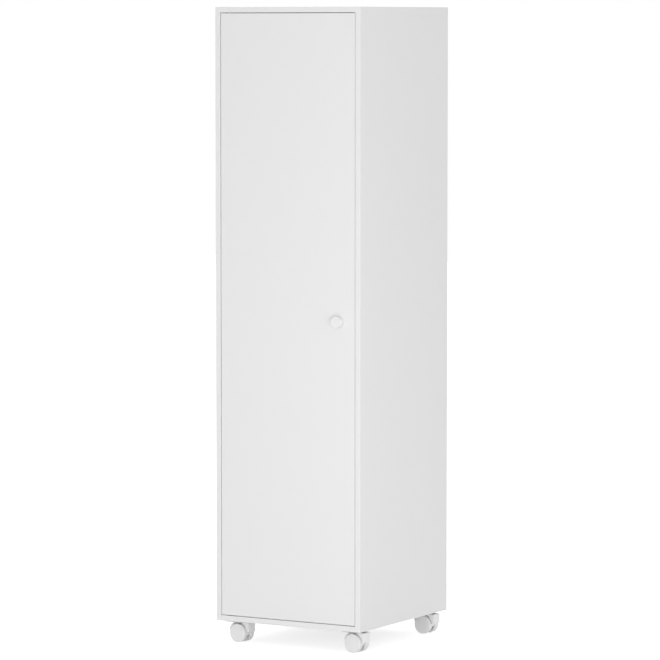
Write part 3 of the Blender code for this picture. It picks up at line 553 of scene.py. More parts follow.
THREAD = SprayedFinish(
    "bag_thread", (0.82, 0.80, 0.75), Slot.CANVAS, roughness=0.7, pebbles=2600.0, depth=0.00006,
    drift=0.05, drift_scale=60.0,
)


# Mesh helpers


def centre_of(node: str) -> Vector:
    """Middle of a CAD node's box."""
    low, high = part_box(node)
    return (low + high) / 2


def joint_named(name: str) -> dict:
    """The record's joint with the given name."""
    return next(joint for joint in frame["joints"] if joint["name"] == name)


def corner_centres(low: Point2, high: Point2, radius: float) -> list[tuple[float, float, float]]:
    """Centres of a rectangle's round corners, anticlockwise, each with its arc's first angle."""
    return [
        (high[0] - radius, low[1] + radius, -math.pi / 2),
        (high[0] - radius, high[1] - radius, 0.0),
        (low[0] + radius, high[1] - radius, math.pi / 2),
        (low[0] + radius, low[1] + radius, math.pi),
    ]


def arc(centre: Point2, radius: float, start: float, end: float, steps: int) -> list[Point2]:
    """Points along an arc.

    Args:
        centre: centre of the circle.
        radius: its radius.
        start: first angle, in radians.
        end: last angle.
        steps: number of equal steps.

    Returns:
        The points, both ends included.
    """
    found = []
    for step in range(steps + 1):
        angle = start + (end - start) * step / steps
        found.append((centre[0] + radius * math.cos(angle), centre[1] + radius * math.sin(angle)))
    return found


def rounded_rectangle(low: Point2, high: Point2, radius: float, steps: int) -> list[Point2]:
    """Outline of a rectangle with round corners, anticlockwise."""
    points = []
    for x, y, start in corner_centres(low, high, radius):
        points += arc((x, y), radius, start, start + math.pi / 2, steps)
    return points


def box(low: Sequence[float], high: Sequence[float]) -> Body:
    """Closed box between two corners, to be bevelled or to cut with."""
    body = bmesh.new()
    bmesh.ops.create_cube(body, size=1.0)
    for vert in body.verts:
        share = vert.co + Vector((0.5, 0.5, 0.5))
        vert.co = [a + s * (b - a) for a, b, s in zip(low, high, share)]
    return body


def closed(body: Body) -> Body:
    """Merge doubled points and make the faces point outwards."""
    bmesh.ops.remove_doubles(body, verts=body.verts, dist=MERGE)
    bmesh.ops.recalc_face_normals(body, faces=body.faces)
    return body


def prism(outline: Sequence[Point2], start: float, end: float, axis: str = "Y") -> Body:
    """Extrude a closed outline along an axis.

    Args:
        outline: pairs of (x, z) for axis Y, (x, y) for Z.
        start: first end on the axis.
        end: other end.
        axis: Y or Z.

    Returns:
        The closed body.
    """
    lift = {
        "Y": lambda p, d: (p[0], d, p[1]),
        "Z": lambda p, d: (p[0], p[1], d),
    }[axis]
    body = bmesh.new()
    face = body.faces.new([body.verts.new(lift(point, start)) for point in outline])
    grown = bmesh.ops.extrude_face_region(body, geom=[face])
    moved_verts = [item for item in grown["geom"] if isinstance(item, bmesh.types.BMVert)]
    bmesh.ops.translate(body, verts=moved_verts, vec=Vector(lift((0, 0), end - start)))
    bmesh.ops.recalc_face_normals(body, faces=body.faces)
    return body


def turned(outline: Sequence[Point2], steps: int) -> Body:
    """Turn a half outline of (radius, height) points about Z into a closed body."""
    body = bmesh.new()
    verts = [body.verts.new((radius, 0, height)) for radius, height in outline]
    pairs = list(zip(verts, verts[1:]))
    if outline[0][0] > 0:
        pairs.append((verts[-1], verts[0]))
    edges = [body.edges.new(pair) for pair in pairs]
    bmesh.ops.spin(
        body, geom=verts + edges, cent=(0, 0, 0), axis=(0, 0, 1), angle=2 * math.pi, steps=steps
    )
    return closed(body)


def moved(
    body: Body, location: Sequence[float] = (0, 0, 0), turn: Matrix | None = None
) -> Body:
    """Turn a body about the origin, then shift it."""
    matrix = Matrix.Translation(location)
    if turn is not None:
        matrix = matrix @ turn.to_4x4()
    bmesh.ops.transform(body, matrix=matrix, verts=body.verts)
    return body


def gathered(bodies: Iterable[Body]) -> Body:
    """Join bodies into one, with nothing merged."""
    whole = bmesh.new()
    for body in bodies:
        scratch = to_mesh("scratch", body)
        whole.from_mesh(scratch)
        bpy.data.meshes.remove(scratch)
    return whole


def node_body(node: str, grow: float = 0.0) -> Body:
    """Merged copy of a CAD node, grown outwards where asked."""
    body = bmesh.new()
    body.from_mesh(frame["nodes"][node].data)
    bmesh.ops.remove_doubles(body, verts=body.verts, dist=CAD_MERGE)
    flattened(body, CAD_FLAT)
    bmesh.ops.recalc_face_normals(body, faces=body.faces)
    if grow:
        for vert in body.verts:
            vert.co += vert.normal * grow
    return body


def flattened(body: Body, angle: float) -> Body:
    """Join neighbouring faces that turn by less than the given angle, in degrees."""
    bmesh.ops.dissolve_limit(
        body, angle_limit=math.radians(angle), verts=body.verts, edges=body.edges
    )
    return body


def to_mesh(name: str, body: Body) -> Mesh:
    """Turn a body into a mesh and free it."""
    mesh = bpy.data.meshes.new(name)
    body.to_mesh(mesh)
    body.free()
    return mesh


def to_body(mesh: Mesh) -> Body:
    """Turn a mesh into a body and drop it."""
    body = bmesh.new()
    body.from_mesh(mesh)
    bpy.data.meshes.remove(mesh)
    return body


def linked(name: str, data: bpy.types.ID) -> bpy.types.Object:
    """New object with the given data, linked to the scene."""
    made = bpy.data.objects.new(name, data)
    bpy.context.collection.objects.link(made)
    return made


def applied(carrier: bpy.types.Object, *helpers: bpy.types.Object) -> Mesh:
    """Plain mesh of an object with its modifiers applied; the object and helpers go."""
    bpy.context.view_layer.update()
    evaluated = carrier.evaluated_get(bpy.context.evaluated_depsgraph_get())
    mesh = bpy.data.meshes.new_from_object(evaluated)
    mesh.name = carrier.name
    for obj in (carrier, *helpers):
        bpy.data.objects.remove(obj)
    return mesh


def shaded(mesh: Mesh, angle: float = 35.0) -> Mesh:
    """Smooth below the given angle in degrees, with normals weighted by face area."""
    mesh.shade_smooth()
    mesh.set_sharp_from_angle(angle=math.radians(angle))
    carrier = linked(mesh.name, mesh)
    weighted = carrier.modifiers.new("flats", "WEIGHTED_NORMAL")
    weighted.keep_sharp = True
    return applied(carrier)


@dataclass
class Workshop:
    """One body taken through joining, cutting and edge softening.

    Attributes:
        name: name of the resulting mesh.
        body: starting body.
        joined: bodies to unite with it.
        cut: bodies to take away.
        soften: radius of the softened edges, or 0.
        soften_first: soften before the cuts instead of after them.
        soften_angle: edges sharper than this many degrees are softened.
        smooth_angle: angle below which faces shade smoothly, in degrees.
        segments: steps across a softened edge.
    """

    name: str
    body: Body
    joined: Sequence[Body] = ()
    cut: Sequence[Body] = ()
    soften: float = 0.0
    soften_first: bool = False
    soften_angle: float = 40.0
    smooth_angle: float = 35.0
    segments: int = 3

    def mesh(self) -> Mesh:
        """Apply every step and return the finished mesh."""
        carrier = linked(self.name, to_mesh(self.name, self.body))
        tools: list[bpy.types.Object] = []
        if self.soften and self.soften_first:
            self._add_bevel(carrier)
        for operation, solids in (("UNION", self.joined), ("DIFFERENCE", self.cut)):
            for solid in solids:
                tools.append(self._add_boolean(carrier, operation, solid))
        if self.soften and not self.soften_first:
            self._add_bevel(carrier)
        return shaded(applied(carrier, *tools), self.smooth_angle)

    def _add_bevel(self, carrier: bpy.types.Object) -> None:
        """Add the modifier that softens edges."""
        bevel = carrier.modifiers.new("soften", "BEVEL")
        bevel.width = self.soften
        bevel.segments = self.segments
        bevel.limit_method = "ANGLE"
        bevel.angle_limit = math.radians(self.soften_angle)
        bevel.use_clamp_overlap = True

    def _add_boolean(
        self, carrier: bpy.types.Object, operation: str, solid: Body
    ) -> bpy.types.Object:
        """Add one Boolean modifier and return its tool object."""
        tool = linked(self.name + "_tool", to_mesh(self.name + "_tool", solid))
        tool.hide_render = True
        boolean = carrier.modifiers.new(operation.title(), "BOOLEAN")
        boolean.operation = operation
        boolean.solver = "EXACT"
        boolean.object = tool
        return tool


def paint(mesh: Mesh, finishes: Sequence[Finish]) -> None:
    """Give a mesh its materials, in the order of its material indices."""
    mesh.materials.clear()
    for finish in finishes:
        mesh.materials.append(finish.material())


def install(
    name: str,
    mesh: Mesh,
    finishes: Sequence[Finish] | Finish,
    body: str,
    replaces: Sequence[str] = (),
) -> bpy.types.Object:
    """Place a finished mesh as a piece that rides on a body.

    Args:
        name: name of the piece.
        mesh: its mesh, already in place.
        finishes: one finish, or one for each material index.
        body: the body it moves with.
        replaces: CAD nodes that it stands for.

    Returns:
        The piece.
    """
    several = [finishes] if isinstance(finishes, Finish) else list(finishes)
    mesh.name = name
    paint(mesh, several)
    piece = linked(name, mesh)
    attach(piece, body)
    if replaces:
        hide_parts(*replaces)
    LOG.info("%s: %d faces on %s", name, len(mesh.polygons), body)
    return piece


def install_body(
    name: str, shape: Body, finish: Finish, body: str, node: str, angle: float = 35.0
) -> None:
    """Place a made shape as a piece.

    Args:
        name: name of the piece.
        shape: its closed shape, already in place.
        finish: its finish.
        body: the body it moves with.
        node: the CAD node that it stands for.
        angle: angle below which its faces shade smoothly, in degrees.
    """
    install(name, shaded(to_mesh(name, shape), angle), finish, body, [node])


def install_softened(node: str, name: str, finish: Finish, body: str, soften: float) -> None:
    """Place a CAD node's own shape with softened edges.

    Args:
        node: the CAD node.
        name: name of the piece.
        finish: its finish.
        body: the body it moves with.
        soften: radius of the softened edges.
    """
    softened = Workshop(node, node_body(node), soften=soften, soften_angle=CAD_SOFTEN_ANGLE)
    install(name, softened.mesh(), finish, body, [node])


def refinish(node: str, finish: Finish) -> None:
    """Give a CAD node that keeps its shape a finish."""
    paint(frame["nodes"][node].data, [finish])
    LOG.info("%s: finished as %s", node, finish.name)


# Geometry node trees


@dataclass
class ShapeTree:
    """Geometry Nodes tree with named inputs that makes a plain mesh from carrier points.

    Attributes:
        title: name of the tree.
    """

    title: str = "shape"

    def inputs(self) -> tuple[tuple[str, str], ...]:
        """Names and socket types of the tree's inputs."""
        raise NotImplementedError

    def wire(self, graph: Graph, carrier: Socket, given: Given) -> Socket:
        """Wire the tree; returns the geometry to be made real and given its material."""
        raise NotImplementedError

    def tree(self) -> bpy.types.NodeTree:
        """The tree, made on first use."""
        tree = bpy.data.node_groups.get(self.title)
        if tree is None:
            tree = bpy.data.node_groups.new(self.title, "GeometryNodeTree")
            interface = tree.interface
            interface.new_socket("Geometry", in_out="INPUT", socket_type="NodeSocketGeometry")
            for name, kind in self.inputs():
                interface.new_socket(name, in_out="INPUT", socket_type=kind)
            interface.new_socket("Material", in_out="INPUT", socket_type="NodeSocketMaterial")
            interface.new_socket("Geometry", in_out="OUTPUT", socket_type="NodeSocketGeometry")
            graph = Graph(tree)
            entry = graph.add("NodeGroupInput")
            shape = self.wire(graph, entry.outputs["Geometry"], lambda name: entry.outputs[name])
            real = graph.add("GeometryNodeRealizeInstances", {"Geometry": shape})
            painted = graph.add(
                "GeometryNodeSetMaterial",
                {"Geometry": real.outputs[0], "Material": entry.outputs["Material"]},
            )
            graph.add("NodeGroupOutput", {"Geometry": painted.outputs[0]})
        return tree

    def mesh(self, name: str, carrier: Mesh, finish: Finish, values: dict) -> Mesh:
        """Run the tree on a carrier mesh.

        Args:
            name: name of the resulting mesh.
            carrier: mesh that carries the points or path.
            finish: finish given to the result.
            values: the tree's inputs by name.

        Returns:
            The plain mesh.
        """
        holder = linked(name, carrier)
        modifier = holder.modifiers.new(self.title, "NODES")
        modifier.node_group = self.tree()
        sockets = {
            item.name: item.identifier
            for item in modifier.node_group.interface.items_tree
            if item.in_out == "INPUT"
        }
        for socket, value in {**values, "Material": finish.material()}.items():
            modifier[sockets[socket]] = value
        return applied(holder)


@dataclass
class ScrewTree(ShapeTree):
    """Countersunk screws with a cross recess, one at each carrier point."""

    title: str = "countersunk_screws"
    head_sides: int = 40
    shank_sides: int = 20

    def inputs(self) -> tuple[tuple[str, str], ...]:
        """Sizes of the screw."""
        names = (
            "Head Radius", "Head Height", "Shank Radius", "Length", "Recess Reach", "Recess Width",
            "Recess Depth",
        )
        return tuple((name, "NodeSocketFloat") for name in names)

    def wire(self, graph: Graph, carrier: Socket, given: Given) -> Socket:
        """Cone and shank with two crossed slots cut into the head."""
        rim = graph.math("MULTIPLY", given("Head Height"), HEAD_RIM_SHARE)
        cone_depth = graph.math("SUBTRACT", given("Head Height"), rim)
        cone = graph.add(
            "GeometryNodeMeshCone",
            {
                "Vertices": self.head_sides,
                "Radius Top": given("Head Radius"),
                "Radius Bottom": given("Shank Radius"),
                "Depth": cone_depth,
            },
        )
        drop = graph.math("MULTIPLY", given("Head Height"), -1.0)
        seated = self._shifted(graph, cone.outputs["Mesh"], drop)
        disc = graph.add(
            "GeometryNodeMeshCylinder",
            {"Vertices": self.head_sides, "Radius": given("Head Radius"), "Depth": rim},
        )
        disc = self._shifted(graph, disc.outputs["Mesh"], graph.math("MULTIPLY", rim, -0.5))
        shank_length = graph.math("SUBTRACT", given("Length"), given("Head Height"))
        shank = graph.add(
            "GeometryNodeMeshCylinder",
            {
                "Vertices": self.shank_sides,
                "Radius": given("Shank Radius"),
                "Depth": shank_length,
            },
        )
        middle = graph.math("MULTIPLY_ADD", shank_length, -0.5, drop)
        shank = self._shifted(graph, shank.outputs["Mesh"], middle)
        slots = []
        reach, width = given("Recess Reach"), given("Recess Width")
        for across, along in ((reach, width), (width, reach)):
            depth = graph.math("MULTIPLY", given("Recess Depth"), 2.0)
            size = graph.add("ShaderNodeCombineXYZ", {"X": across, "Y": along, "Z": depth})
            slots.append(graph.add("GeometryNodeMeshCube", {"Size": size.outputs[0]}))
        head = graph.add("GeometryNodeMeshBoolean", operation="UNION", solver="EXACT")
        for part in (seated, disc):
            graph.tree.links.new(part, head.inputs["Mesh 2"])
        cut = graph.add(
            "GeometryNodeMeshBoolean", {"Mesh 1": head.outputs[0]}, operation="DIFFERENCE",
            solver="EXACT",
        )
        for slot_cube in slots:
            graph.tree.links.new(slot_cube.outputs["Mesh"], cut.inputs["Mesh 2"])
        whole = graph.add("GeometryNodeJoinGeometry")
        for part in (cut.outputs[0], shank):
            graph.tree.links.new(part, whole.inputs[0])
        turn = graph.add(
            "GeometryNodeInputNamedAttribute", {"Name": "turn"}, data_type="FLOAT_VECTOR"
        )
        rotation = graph.add("FunctionNodeEulerToRotation", {"Euler": turn.outputs[0]})
        placed = graph.add(
            "GeometryNodeInstanceOnPoints",
            {
                "Points": carrier,
                "Instance": whole.outputs[0],
                "Rotation": rotation.outputs[0],
            },
        )
        return placed.outputs[0]

    @staticmethod
    def _shifted(graph: Graph, mesh: Socket, height: Socket) -> Socket:
        """Move a mesh along Z."""
        shift = graph.add("ShaderNodeCombineXYZ", {"Z": height})
        shifted = graph.add(
            "GeometryNodeTransform", {"Geometry": mesh, "Translation": shift.outputs[0]}
        )
        return shifted.outputs[0]


@dataclass
class WireTree(ShapeTree):
    """Round bar along the carrier's edges."""

    title: str = "bent_wire"
    section_sides: int = 24

    def inputs(self) -> tuple[tuple[str, str], ...]:
        """Radius of the bar."""
        return (("Radius", "NodeSocketFloat"),)

    def wire(self, graph: Graph, carrier: Socket, given: Given) -> Socket:
        """Circle swept along the path."""
        path = graph.add("GeometryNodeMeshToCurve", {"Mesh": carrier})
        section = graph.add(
            "GeometryNodeCurvePrimitiveCircle",
            {"Resolution": self.section_sides, "Radius": given("Radius")},
        )
        swept = graph.add(
            "GeometryNodeCurveToMesh",
            {"Curve": path.outputs[0], "Profile Curve": section.outputs[0]},
        )
        smooth = graph.add("GeometryNodeSetShadeSmooth", {"Geometry": swept.outputs[0]})
        return smooth.outputs[0]


@dataclass
class StitchTree(ShapeTree):
    """Row of thread stitches along the carrier's edges."""

    title: str = "stitch_row"
    bead_segments: int = 8
    bead_rings: int = 6

    def inputs(self) -> tuple[tuple[str, str], ...]:
        """Spacing and size of the stitches."""
        return tuple(
            (name, "NodeSocketFloat") for name in ("Pitch", "Stitch Length", "Thread Radius")
        )

    def wire(self, graph: Graph, carrier: Socket, given: Given) -> Socket:
        """Long beads at even steps, turned along the path."""
        path = graph.add("GeometryNodeMeshToCurve", {"Mesh": carrier})
        points = graph.add(
            "GeometryNodeCurveToPoints",
            {"Curve": path.outputs[0], "Length": given("Pitch")},
            mode="LENGTH",
        )
        bead = graph.add(
            "GeometryNodeMeshUVSphere",
            {"Segments": self.bead_segments, "Rings": self.bead_rings, "Radius": 1.0},
        )
        size = graph.add(
            "ShaderNodeCombineXYZ",
            {
                "X": given("Thread Radius"),
                "Y": given("Thread Radius"),
                "Z": graph.math("MULTIPLY", given("Stitch Length"), 0.5),
            },
        )
        placed = graph.add(
            "GeometryNodeInstanceOnPoints",
            {
                "Points": points.outputs["Points"],
                "Instance": bead.outputs["Mesh"],
                "Rotation": points.outputs["Rotation"],
                "Scale": size.outputs[0],
            },
        )
        smooth = graph.add("GeometryNodeSetShadeSmooth", {"Geometry": placed.outputs[0]})
        return smooth.outputs[0]


# Hardware


@dataclass(frozen=True)
class Screw:
    """Countersunk screw with its head's top at height 0.

    Attributes:
        head_radius: radius of the head.
        head_height: height of the head's cone.
        shank_radius: radius of the shank.
        length: whole length.
        recess_reach: length of the cross recess as a share of the head's radius.
        recess_width: width of its arms as a share of the head's radius.
        recess_depth: its depth as a share of the head's height.
    """

    head_radius: float
    head_height: float
    shank_radius: float
    length: float
    recess_reach: float = 1.15
    recess_width: float = 0.24
    recess_depth: float = 0.75

    def hole(self, seat: Seat) -> Body:
        """Cutter for the screw's hole at a seat."""
        head, shank = self.head_radius + FIT, self.shank_radius + FIT
        outline = [
            (0, FIT),
            (head, FIT),
            (head, -self.head_height * HEAD_RIM_SHARE),
            (shank, -self.head_height),
            (shank, -self.length - FIT),
            (0, -self.length - FIT),
        ]
        return moved(turned(outline, BORE_STEPS), *seat)

    def inputs(self) -> dict[str, float]:
        """Inputs of the screw tree."""
        return {
            "Head Radius": self.head_radius,
            "Head Height": self.head_height,
            "Shank Radius": self.shank_radius,
            "Length": self.length,
            "Recess Reach": self.head_radius * self.recess_reach,
            "Recess Width": self.head_radius * self.recess_width,
            "Recess Depth": self.head_height * self.recess_depth,
        }


CASTER_SCREW = Screw(0.0032, 0.0017, 0.0016, 0.010)
PIVOT_SCREW = Screw(0.0024, 0.0012, 0.0012, 0.011)
RAIL_SCREW = Screw(0.0026, 0.0012, 0.0014, 0.009)
CATCH_SCREW = Screw(0.0030, 0.0018, 0.0015, 0.021)
KNOB_SCREW = Screw(0.0038, 0.0020, 0.0019, 0.020)
STRIKE_SCREW = Screw(0.0026, 0.0010, 0.0013, 0.009)


def rear_seat(node: str) -> Seat:
    """Seat of a screw driven into the door from behind, at its CAD node's rear end."""
    centre = centre_of(node)
    return (centre.x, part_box(node)[1].y, centre.z), Facing.REAR.turn


@dataclass
class ScrewSet:
    """Screws of one kind on one body.

    Attributes:
        name: name of the piece.
        screw: size of the screws.
        seats: where the heads' tops are, and how they turn.
        body: the body they ride on.
        finish: their plating.
        replaces: CAD nodes they stand for.
    """

    name: str
    screw: Screw
    seats: Sequence[Seat]
    body: str
    finish: Finish = ZINC
    replaces: Sequence[str] = ()

    def build(self) -> None:
        """Run the screw tree on the seats and place the piece."""
        carrier = bpy.data.meshes.new(self.name + "_seats")
        carrier.from_pydata([seat[0] for seat in self.seats], [], [])
        turns = carrier.attributes.new("turn", "FLOAT_VECTOR", "POINT")
        for item, (_, turn) in zip(turns.data, self.seats):
            item.vector = turn.to_euler()
        mesh = ScrewTree().mesh(self.name, carrier, self.finish, self.screw.inputs())
        install(self.name, shaded(mesh), self.finish, self.body, self.replaces)


# Carcass


class BoardSide(Enum):
    """The four mitred boards, with their outward direction in x and z."""

    LEFT = ("side_panel_left", -1, 0)
    RIGHT = ("side_panel_right", 1, 0)
    TOP = ("top_panel", 0, 1)
    BOTTOM = ("bottom_panel", 0, -1)


@dataclass
class Carcass:
    """Four mitred boards, the grooved back, and what is drilled and let into them.

    Attributes:
        thickness: thickness of the boards.
        edge: radius of the softened lacquered edges.
        edge_steps: steps across a softened edge.
        groove: depth of the groove for the back.
        pin_pitch: step between the shelf holes.
        pin_radius: radius of a shelf hole.
        pin_depth: its depth.
        shade: angle below which faces shade smoothly, in degrees.
        half_width: half of the body's width.
        half_height: half of its height.
        middle: height of its middle.
    """

    thickness: float = 0.012
    edge: float = 0.0005
    edge_steps: int = 4
    groove: float = 0.006
    pin_pitch: float = 0.032
    pin_radius: float = 0.0028
    pin_depth: float = 0.0073
    shade: float = 30.0
    half_width: float = field(init=False)
    half_height: float = field(init=False)
    middle: float = field(init=False)

    def __post_init__(self) -> None:
        """Read the body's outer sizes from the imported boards."""
        low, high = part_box("side_panel_left")
        base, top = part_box("bottom_panel")[0].z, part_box("top_panel")[1].z
        self.half_width = -low.x
        self.half_height = (top - base) / 2
        self.middle = (top + base) / 2

    def build(self) -> None:
        """Make the boards and finish the back and the tongues."""
        for side in BoardSide:
            self._build_board(side)
        refinish("back_panel", FOIL)
        for level in ("bottom", "top"):
            for hand in ("left", "right"):
                refinish(f"spline_{level}_{hand}", RAW_BEECH)

    def _build_board(self, side: BoardSide) -> None:
        """One board, with its grooves and holes."""
        node = side.value[0]
        body = self._mitred_board(side)
        cuts = [node_body(name, FIT) for name in self._tongues(side)]
        if side in (BoardSide.LEFT, BoardSide.RIGHT):
            cuts.append(self._pin_holes(side))
        else:
            cuts.append(self._pivot_recess(side))
        if side is BoardSide.BOTTOM:
            cuts.append(self._kingpin_recesses())
        mesh = Workshop(node, body, cut=cuts, smooth_angle=self.shade).mesh()
        install("board_" + side.name.lower(), mesh, LACQUER, "cabinet", [node])

    def _section(self) -> list[Point2]:
        """Closed outline of (y, inset) pairs, inset from the outer face."""
        edge, steps = self.edge, self.edge_steps
        back_low, back_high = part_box("back_panel")
        quarter = math.pi / 2
        front_outer = [
            (FRONT + edge - edge * math.sin(step * quarter / steps),
             edge - edge * math.cos(step * quarter / steps))
            for step in range(steps + 1)
        ]
        front_inner = [(y, self.thickness - inset) for y, inset in reversed(front_outer)]
        bottom = self.thickness - self.groove
        channel = [
            (back_low.y - FIT, self.thickness),
            (back_low.y - FIT, bottom),
            (back_high.y + FIT, bottom),
            (back_high.y + FIT, self.thickness),
        ]
        rear_inner = [(FRONT + REAR - y, inset) for y, inset in reversed(front_inner)]
        rear_outer = [(FRONT + REAR - y, inset) for y, inset in reversed(front_outer)]
        return front_outer + front_inner + channel + rear_inner + rear_outer

    def _ring(self, side: BoardSide, y: float, inset: float) -> list[Vector]:
        """Points across the board at one place of its section, mitre to mitre."""
        _, out_x, out_z = side.value
        reach, run = self.half_width, self.half_height
        if out_z:
            reach, run = run, reach
        drop = max(self.edge, inset)
        radius = max(self.edge - inset, 0.0)
        half = []
        for step in range(self.edge_steps + 1):
            angle = math.pi / 4 * (1 - step / self.edge_steps)
            rise, lean = radius * math.sin(angle), radius * math.cos(angle)
            half.append((run - drop + rise, reach - drop + lean))
        across = [(-along, away) for along, away in half] + list(reversed(half))
        points = []
        for along, away in across:
            x = away * out_x + along * abs(out_z)
            z = away * out_z + along * abs(out_x)
            points.append(Vector((x, y, self.middle + z)))
        return points

    def _mitred_board(self, side: BoardSide) -> Body:
        """Board swept between its two mitres, with softened free edges."""
        body = bmesh.new()
        rings = [
            [body.verts.new(point) for point in self._ring(side, y, inset)]
            for y, inset in self._section()
        ]
        for first, second in zip(rings, rings[1:] + rings[:1]):
            for start in range(len(first) - 1):
                body.faces.new((first[start], first[start + 1], second[start + 1], second[start]))
        body.faces.new([ring[0] for ring in rings])
        body.faces.new([ring[-1] for ring in reversed(rings)])
        return closed(body)

    @staticmethod
    def _tongues(side: BoardSide) -> list[str]:
        """CAD nodes of the tongues that the board holds."""
        if side in (BoardSide.TOP, BoardSide.BOTTOM):
            return [f"spline_{side.name.lower()}_{hand}" for hand in ("left", "right")]
        return [f"spline_{level}_{side.name.lower()}" for level in ("bottom", "top")]

    def _pin_holes(self, side: BoardSide) -> Body:
        """Drilled rows for the shelf pins."""
        hand = side.name.lower()
        facing = Facing.LEFT if side is BoardSide.LEFT else Facing.RIGHT
        inner = side.value[1] * (self.half_width - self.thickness)
        outline = [
            (0, -FIT), (self.pin_radius, -FIT), (self.pin_radius, self.pin_depth),
            (0, self.pin_depth),
        ]
        holes = []
        for shelf in ("upper", "middle"):
            for end in ("front", "rear"):
                centre = centre_of(f"shelf_pin_{shelf}_{end}_{hand}")
                for step in (-1, 0, 1):
                    place = (inner, centre.y, centre.z + step * self.pin_pitch)
                    holes.append(moved(turned(outline, PIN_HOLE_STEPS), place, facing.turn))
        return gathered(holes)

    @staticmethod
    def _pivot_recess(side: BoardSide) -> Body:
        """Recess and bore for the pivot socket in the top or bottom board."""
        return PivotPlate(side.name.lower()).socket_cutter()

    @staticmethod
    def _kingpin_recesses() -> Body:
        """Shallow bores under the body for the kingpins' heads."""
        found = []
        for corner in CasterCorner:
            low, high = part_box("kingpin_" + corner.value)
            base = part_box("bottom_panel")[0].z
            centre = (low + high) / 2
            radius = (high.x - low.x) / 2 + FIT
            depth = high.z - base + FIT
            outline = [(0, -FIT), (radius, -FIT), (radius, depth), (0, depth)]
            found.append(moved(turned(outline, BORE_STEPS), (centre.x, centre.y, base)))
        return gathered(found)


@dataclass
class PivotPlate:
    """Round-ended plate of the door's pivots and of their sockets, on one level.

    Attributes:
        level: bottom or top.
        width: width of the plate.
        length: its length.
        thickness: its thickness.
        bush_radius: radius of the socket's bush.
        bush_depth: depth of the bush.
        screw_pitch: distance from the pivot to the first screw, and between the two.
        mouth: how far the recess opens past the plate's face.
        soften: radius of its softened edges.
        end_steps: steps round each end.
    """

    level: str
    width: float = 0.008
    length: float = 0.032
    thickness: float = 0.0015
    bush_radius: float = 0.0038
    bush_depth: float = 0.0075
    screw_pitch: float = 0.010
    mouth: float = 0.0012
    soften: float = 0.00015
    end_steps: int = 20

    @property
    def axis(self) -> Vector:
        """A point on the hinge axis, read from the joint."""
        return Vector(joint_named("door_hinge")["pos_m"])

    @property
    def outward(self) -> int:
        """Direction from the socket's board to the door: 1 at the bottom, -1 at the top."""
        return 1 if self.level == "bottom" else -1

    @property
    def facing(self) -> Facing:
        """Direction that the socket's face looks in."""
        return Facing.UP if self.level == "bottom" else Facing.DOWN

    @property
    def socket_face(self) -> float:
        """Height of the socket's face."""
        low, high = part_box("pivot_socket_" + self.level)
        return high.z if self.level == "bottom" else low.z

    @property
    def door_face(self) -> float:
        """Height of the door's edge at this level."""
        low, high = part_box("door_panel")
        return low.z if self.level == "bottom" else high.z

    def outline(self, grow: float = 0.0) -> list[Point2]:
        """Outline of the plate about the pivot, in x and y."""
        radius = self.width / 2 + grow
        run = self.length - self.width
        right = arc((run, 0), radius, -math.pi / 2, math.pi / 2, self.end_steps)
        left = arc((0, 0), radius, math.pi / 2, 3 * math.pi / 2, self.end_steps)
        return [(self.axis.x + x, self.axis.y + y) for x, y in right + left]

    def seats(self, height: float, facing: Facing) -> list[Seat]:
        """Seats of the plate's two screws."""
        return [
            ((self.axis.x + step * self.screw_pitch, self.axis.y, height), facing.turn)
            for step in (1, 2)
        ]

    def socket_cutter(self) -> Body:
        """Recess and bore in the board."""
        face = self.socket_face
        inside = face - self.outward * (self.thickness + FIT)
        plate = prism(self.outline(FIT), face + self.outward * FIT, inside, axis="Z")
        radius = self.bush_radius + FIT
        depth = self.bush_depth + FIT
        bore = [(0, FIT / 2), (radius, FIT / 2), (radius, -depth), (0, -depth)]
        place = (self.axis.x, self.axis.y, face)
        hole = moved(turned(bore, LATHE_STEPS), place, self.facing.turn)
        return to_body(Workshop("pivot_cutter", plate, joined=[hole]).mesh())

    def door_cutter(self) -> Body:
        """Recess in the door's edge, open past the edge of the finished board."""
        face = self.door_face
        inside = face + self.outward * (self.thickness + FIT)
        return prism(self.outline(FIT), face - self.outward * self.mouth, inside, axis="Z")

    def build(self) -> None:
        """Finish the socket and the door's pivot, and place their screws."""
        away = Facing.DOWN if self.facing is Facing.UP else Facing.UP
        for node, body, height, facing in (
            ("pivot_socket_" + self.level, "cabinet", self.socket_face, self.facing),
            ("door_pivot_" + self.level, "door", self.door_face, away),
        ):
            # The pivots' dark finish is partly painted shade of the door gap.
            install_softened(node, node + "_plate", PIVOT_DARK_NICKEL_AS_GAP_SHADE, body, self.soften)
            seats = self.seats(height, facing)
            ScrewSet(node + "_screws", PIVOT_SCREW, seats, body, PIVOT_DARK_NICKEL_AS_GAP_SHADE).build()


# Inside


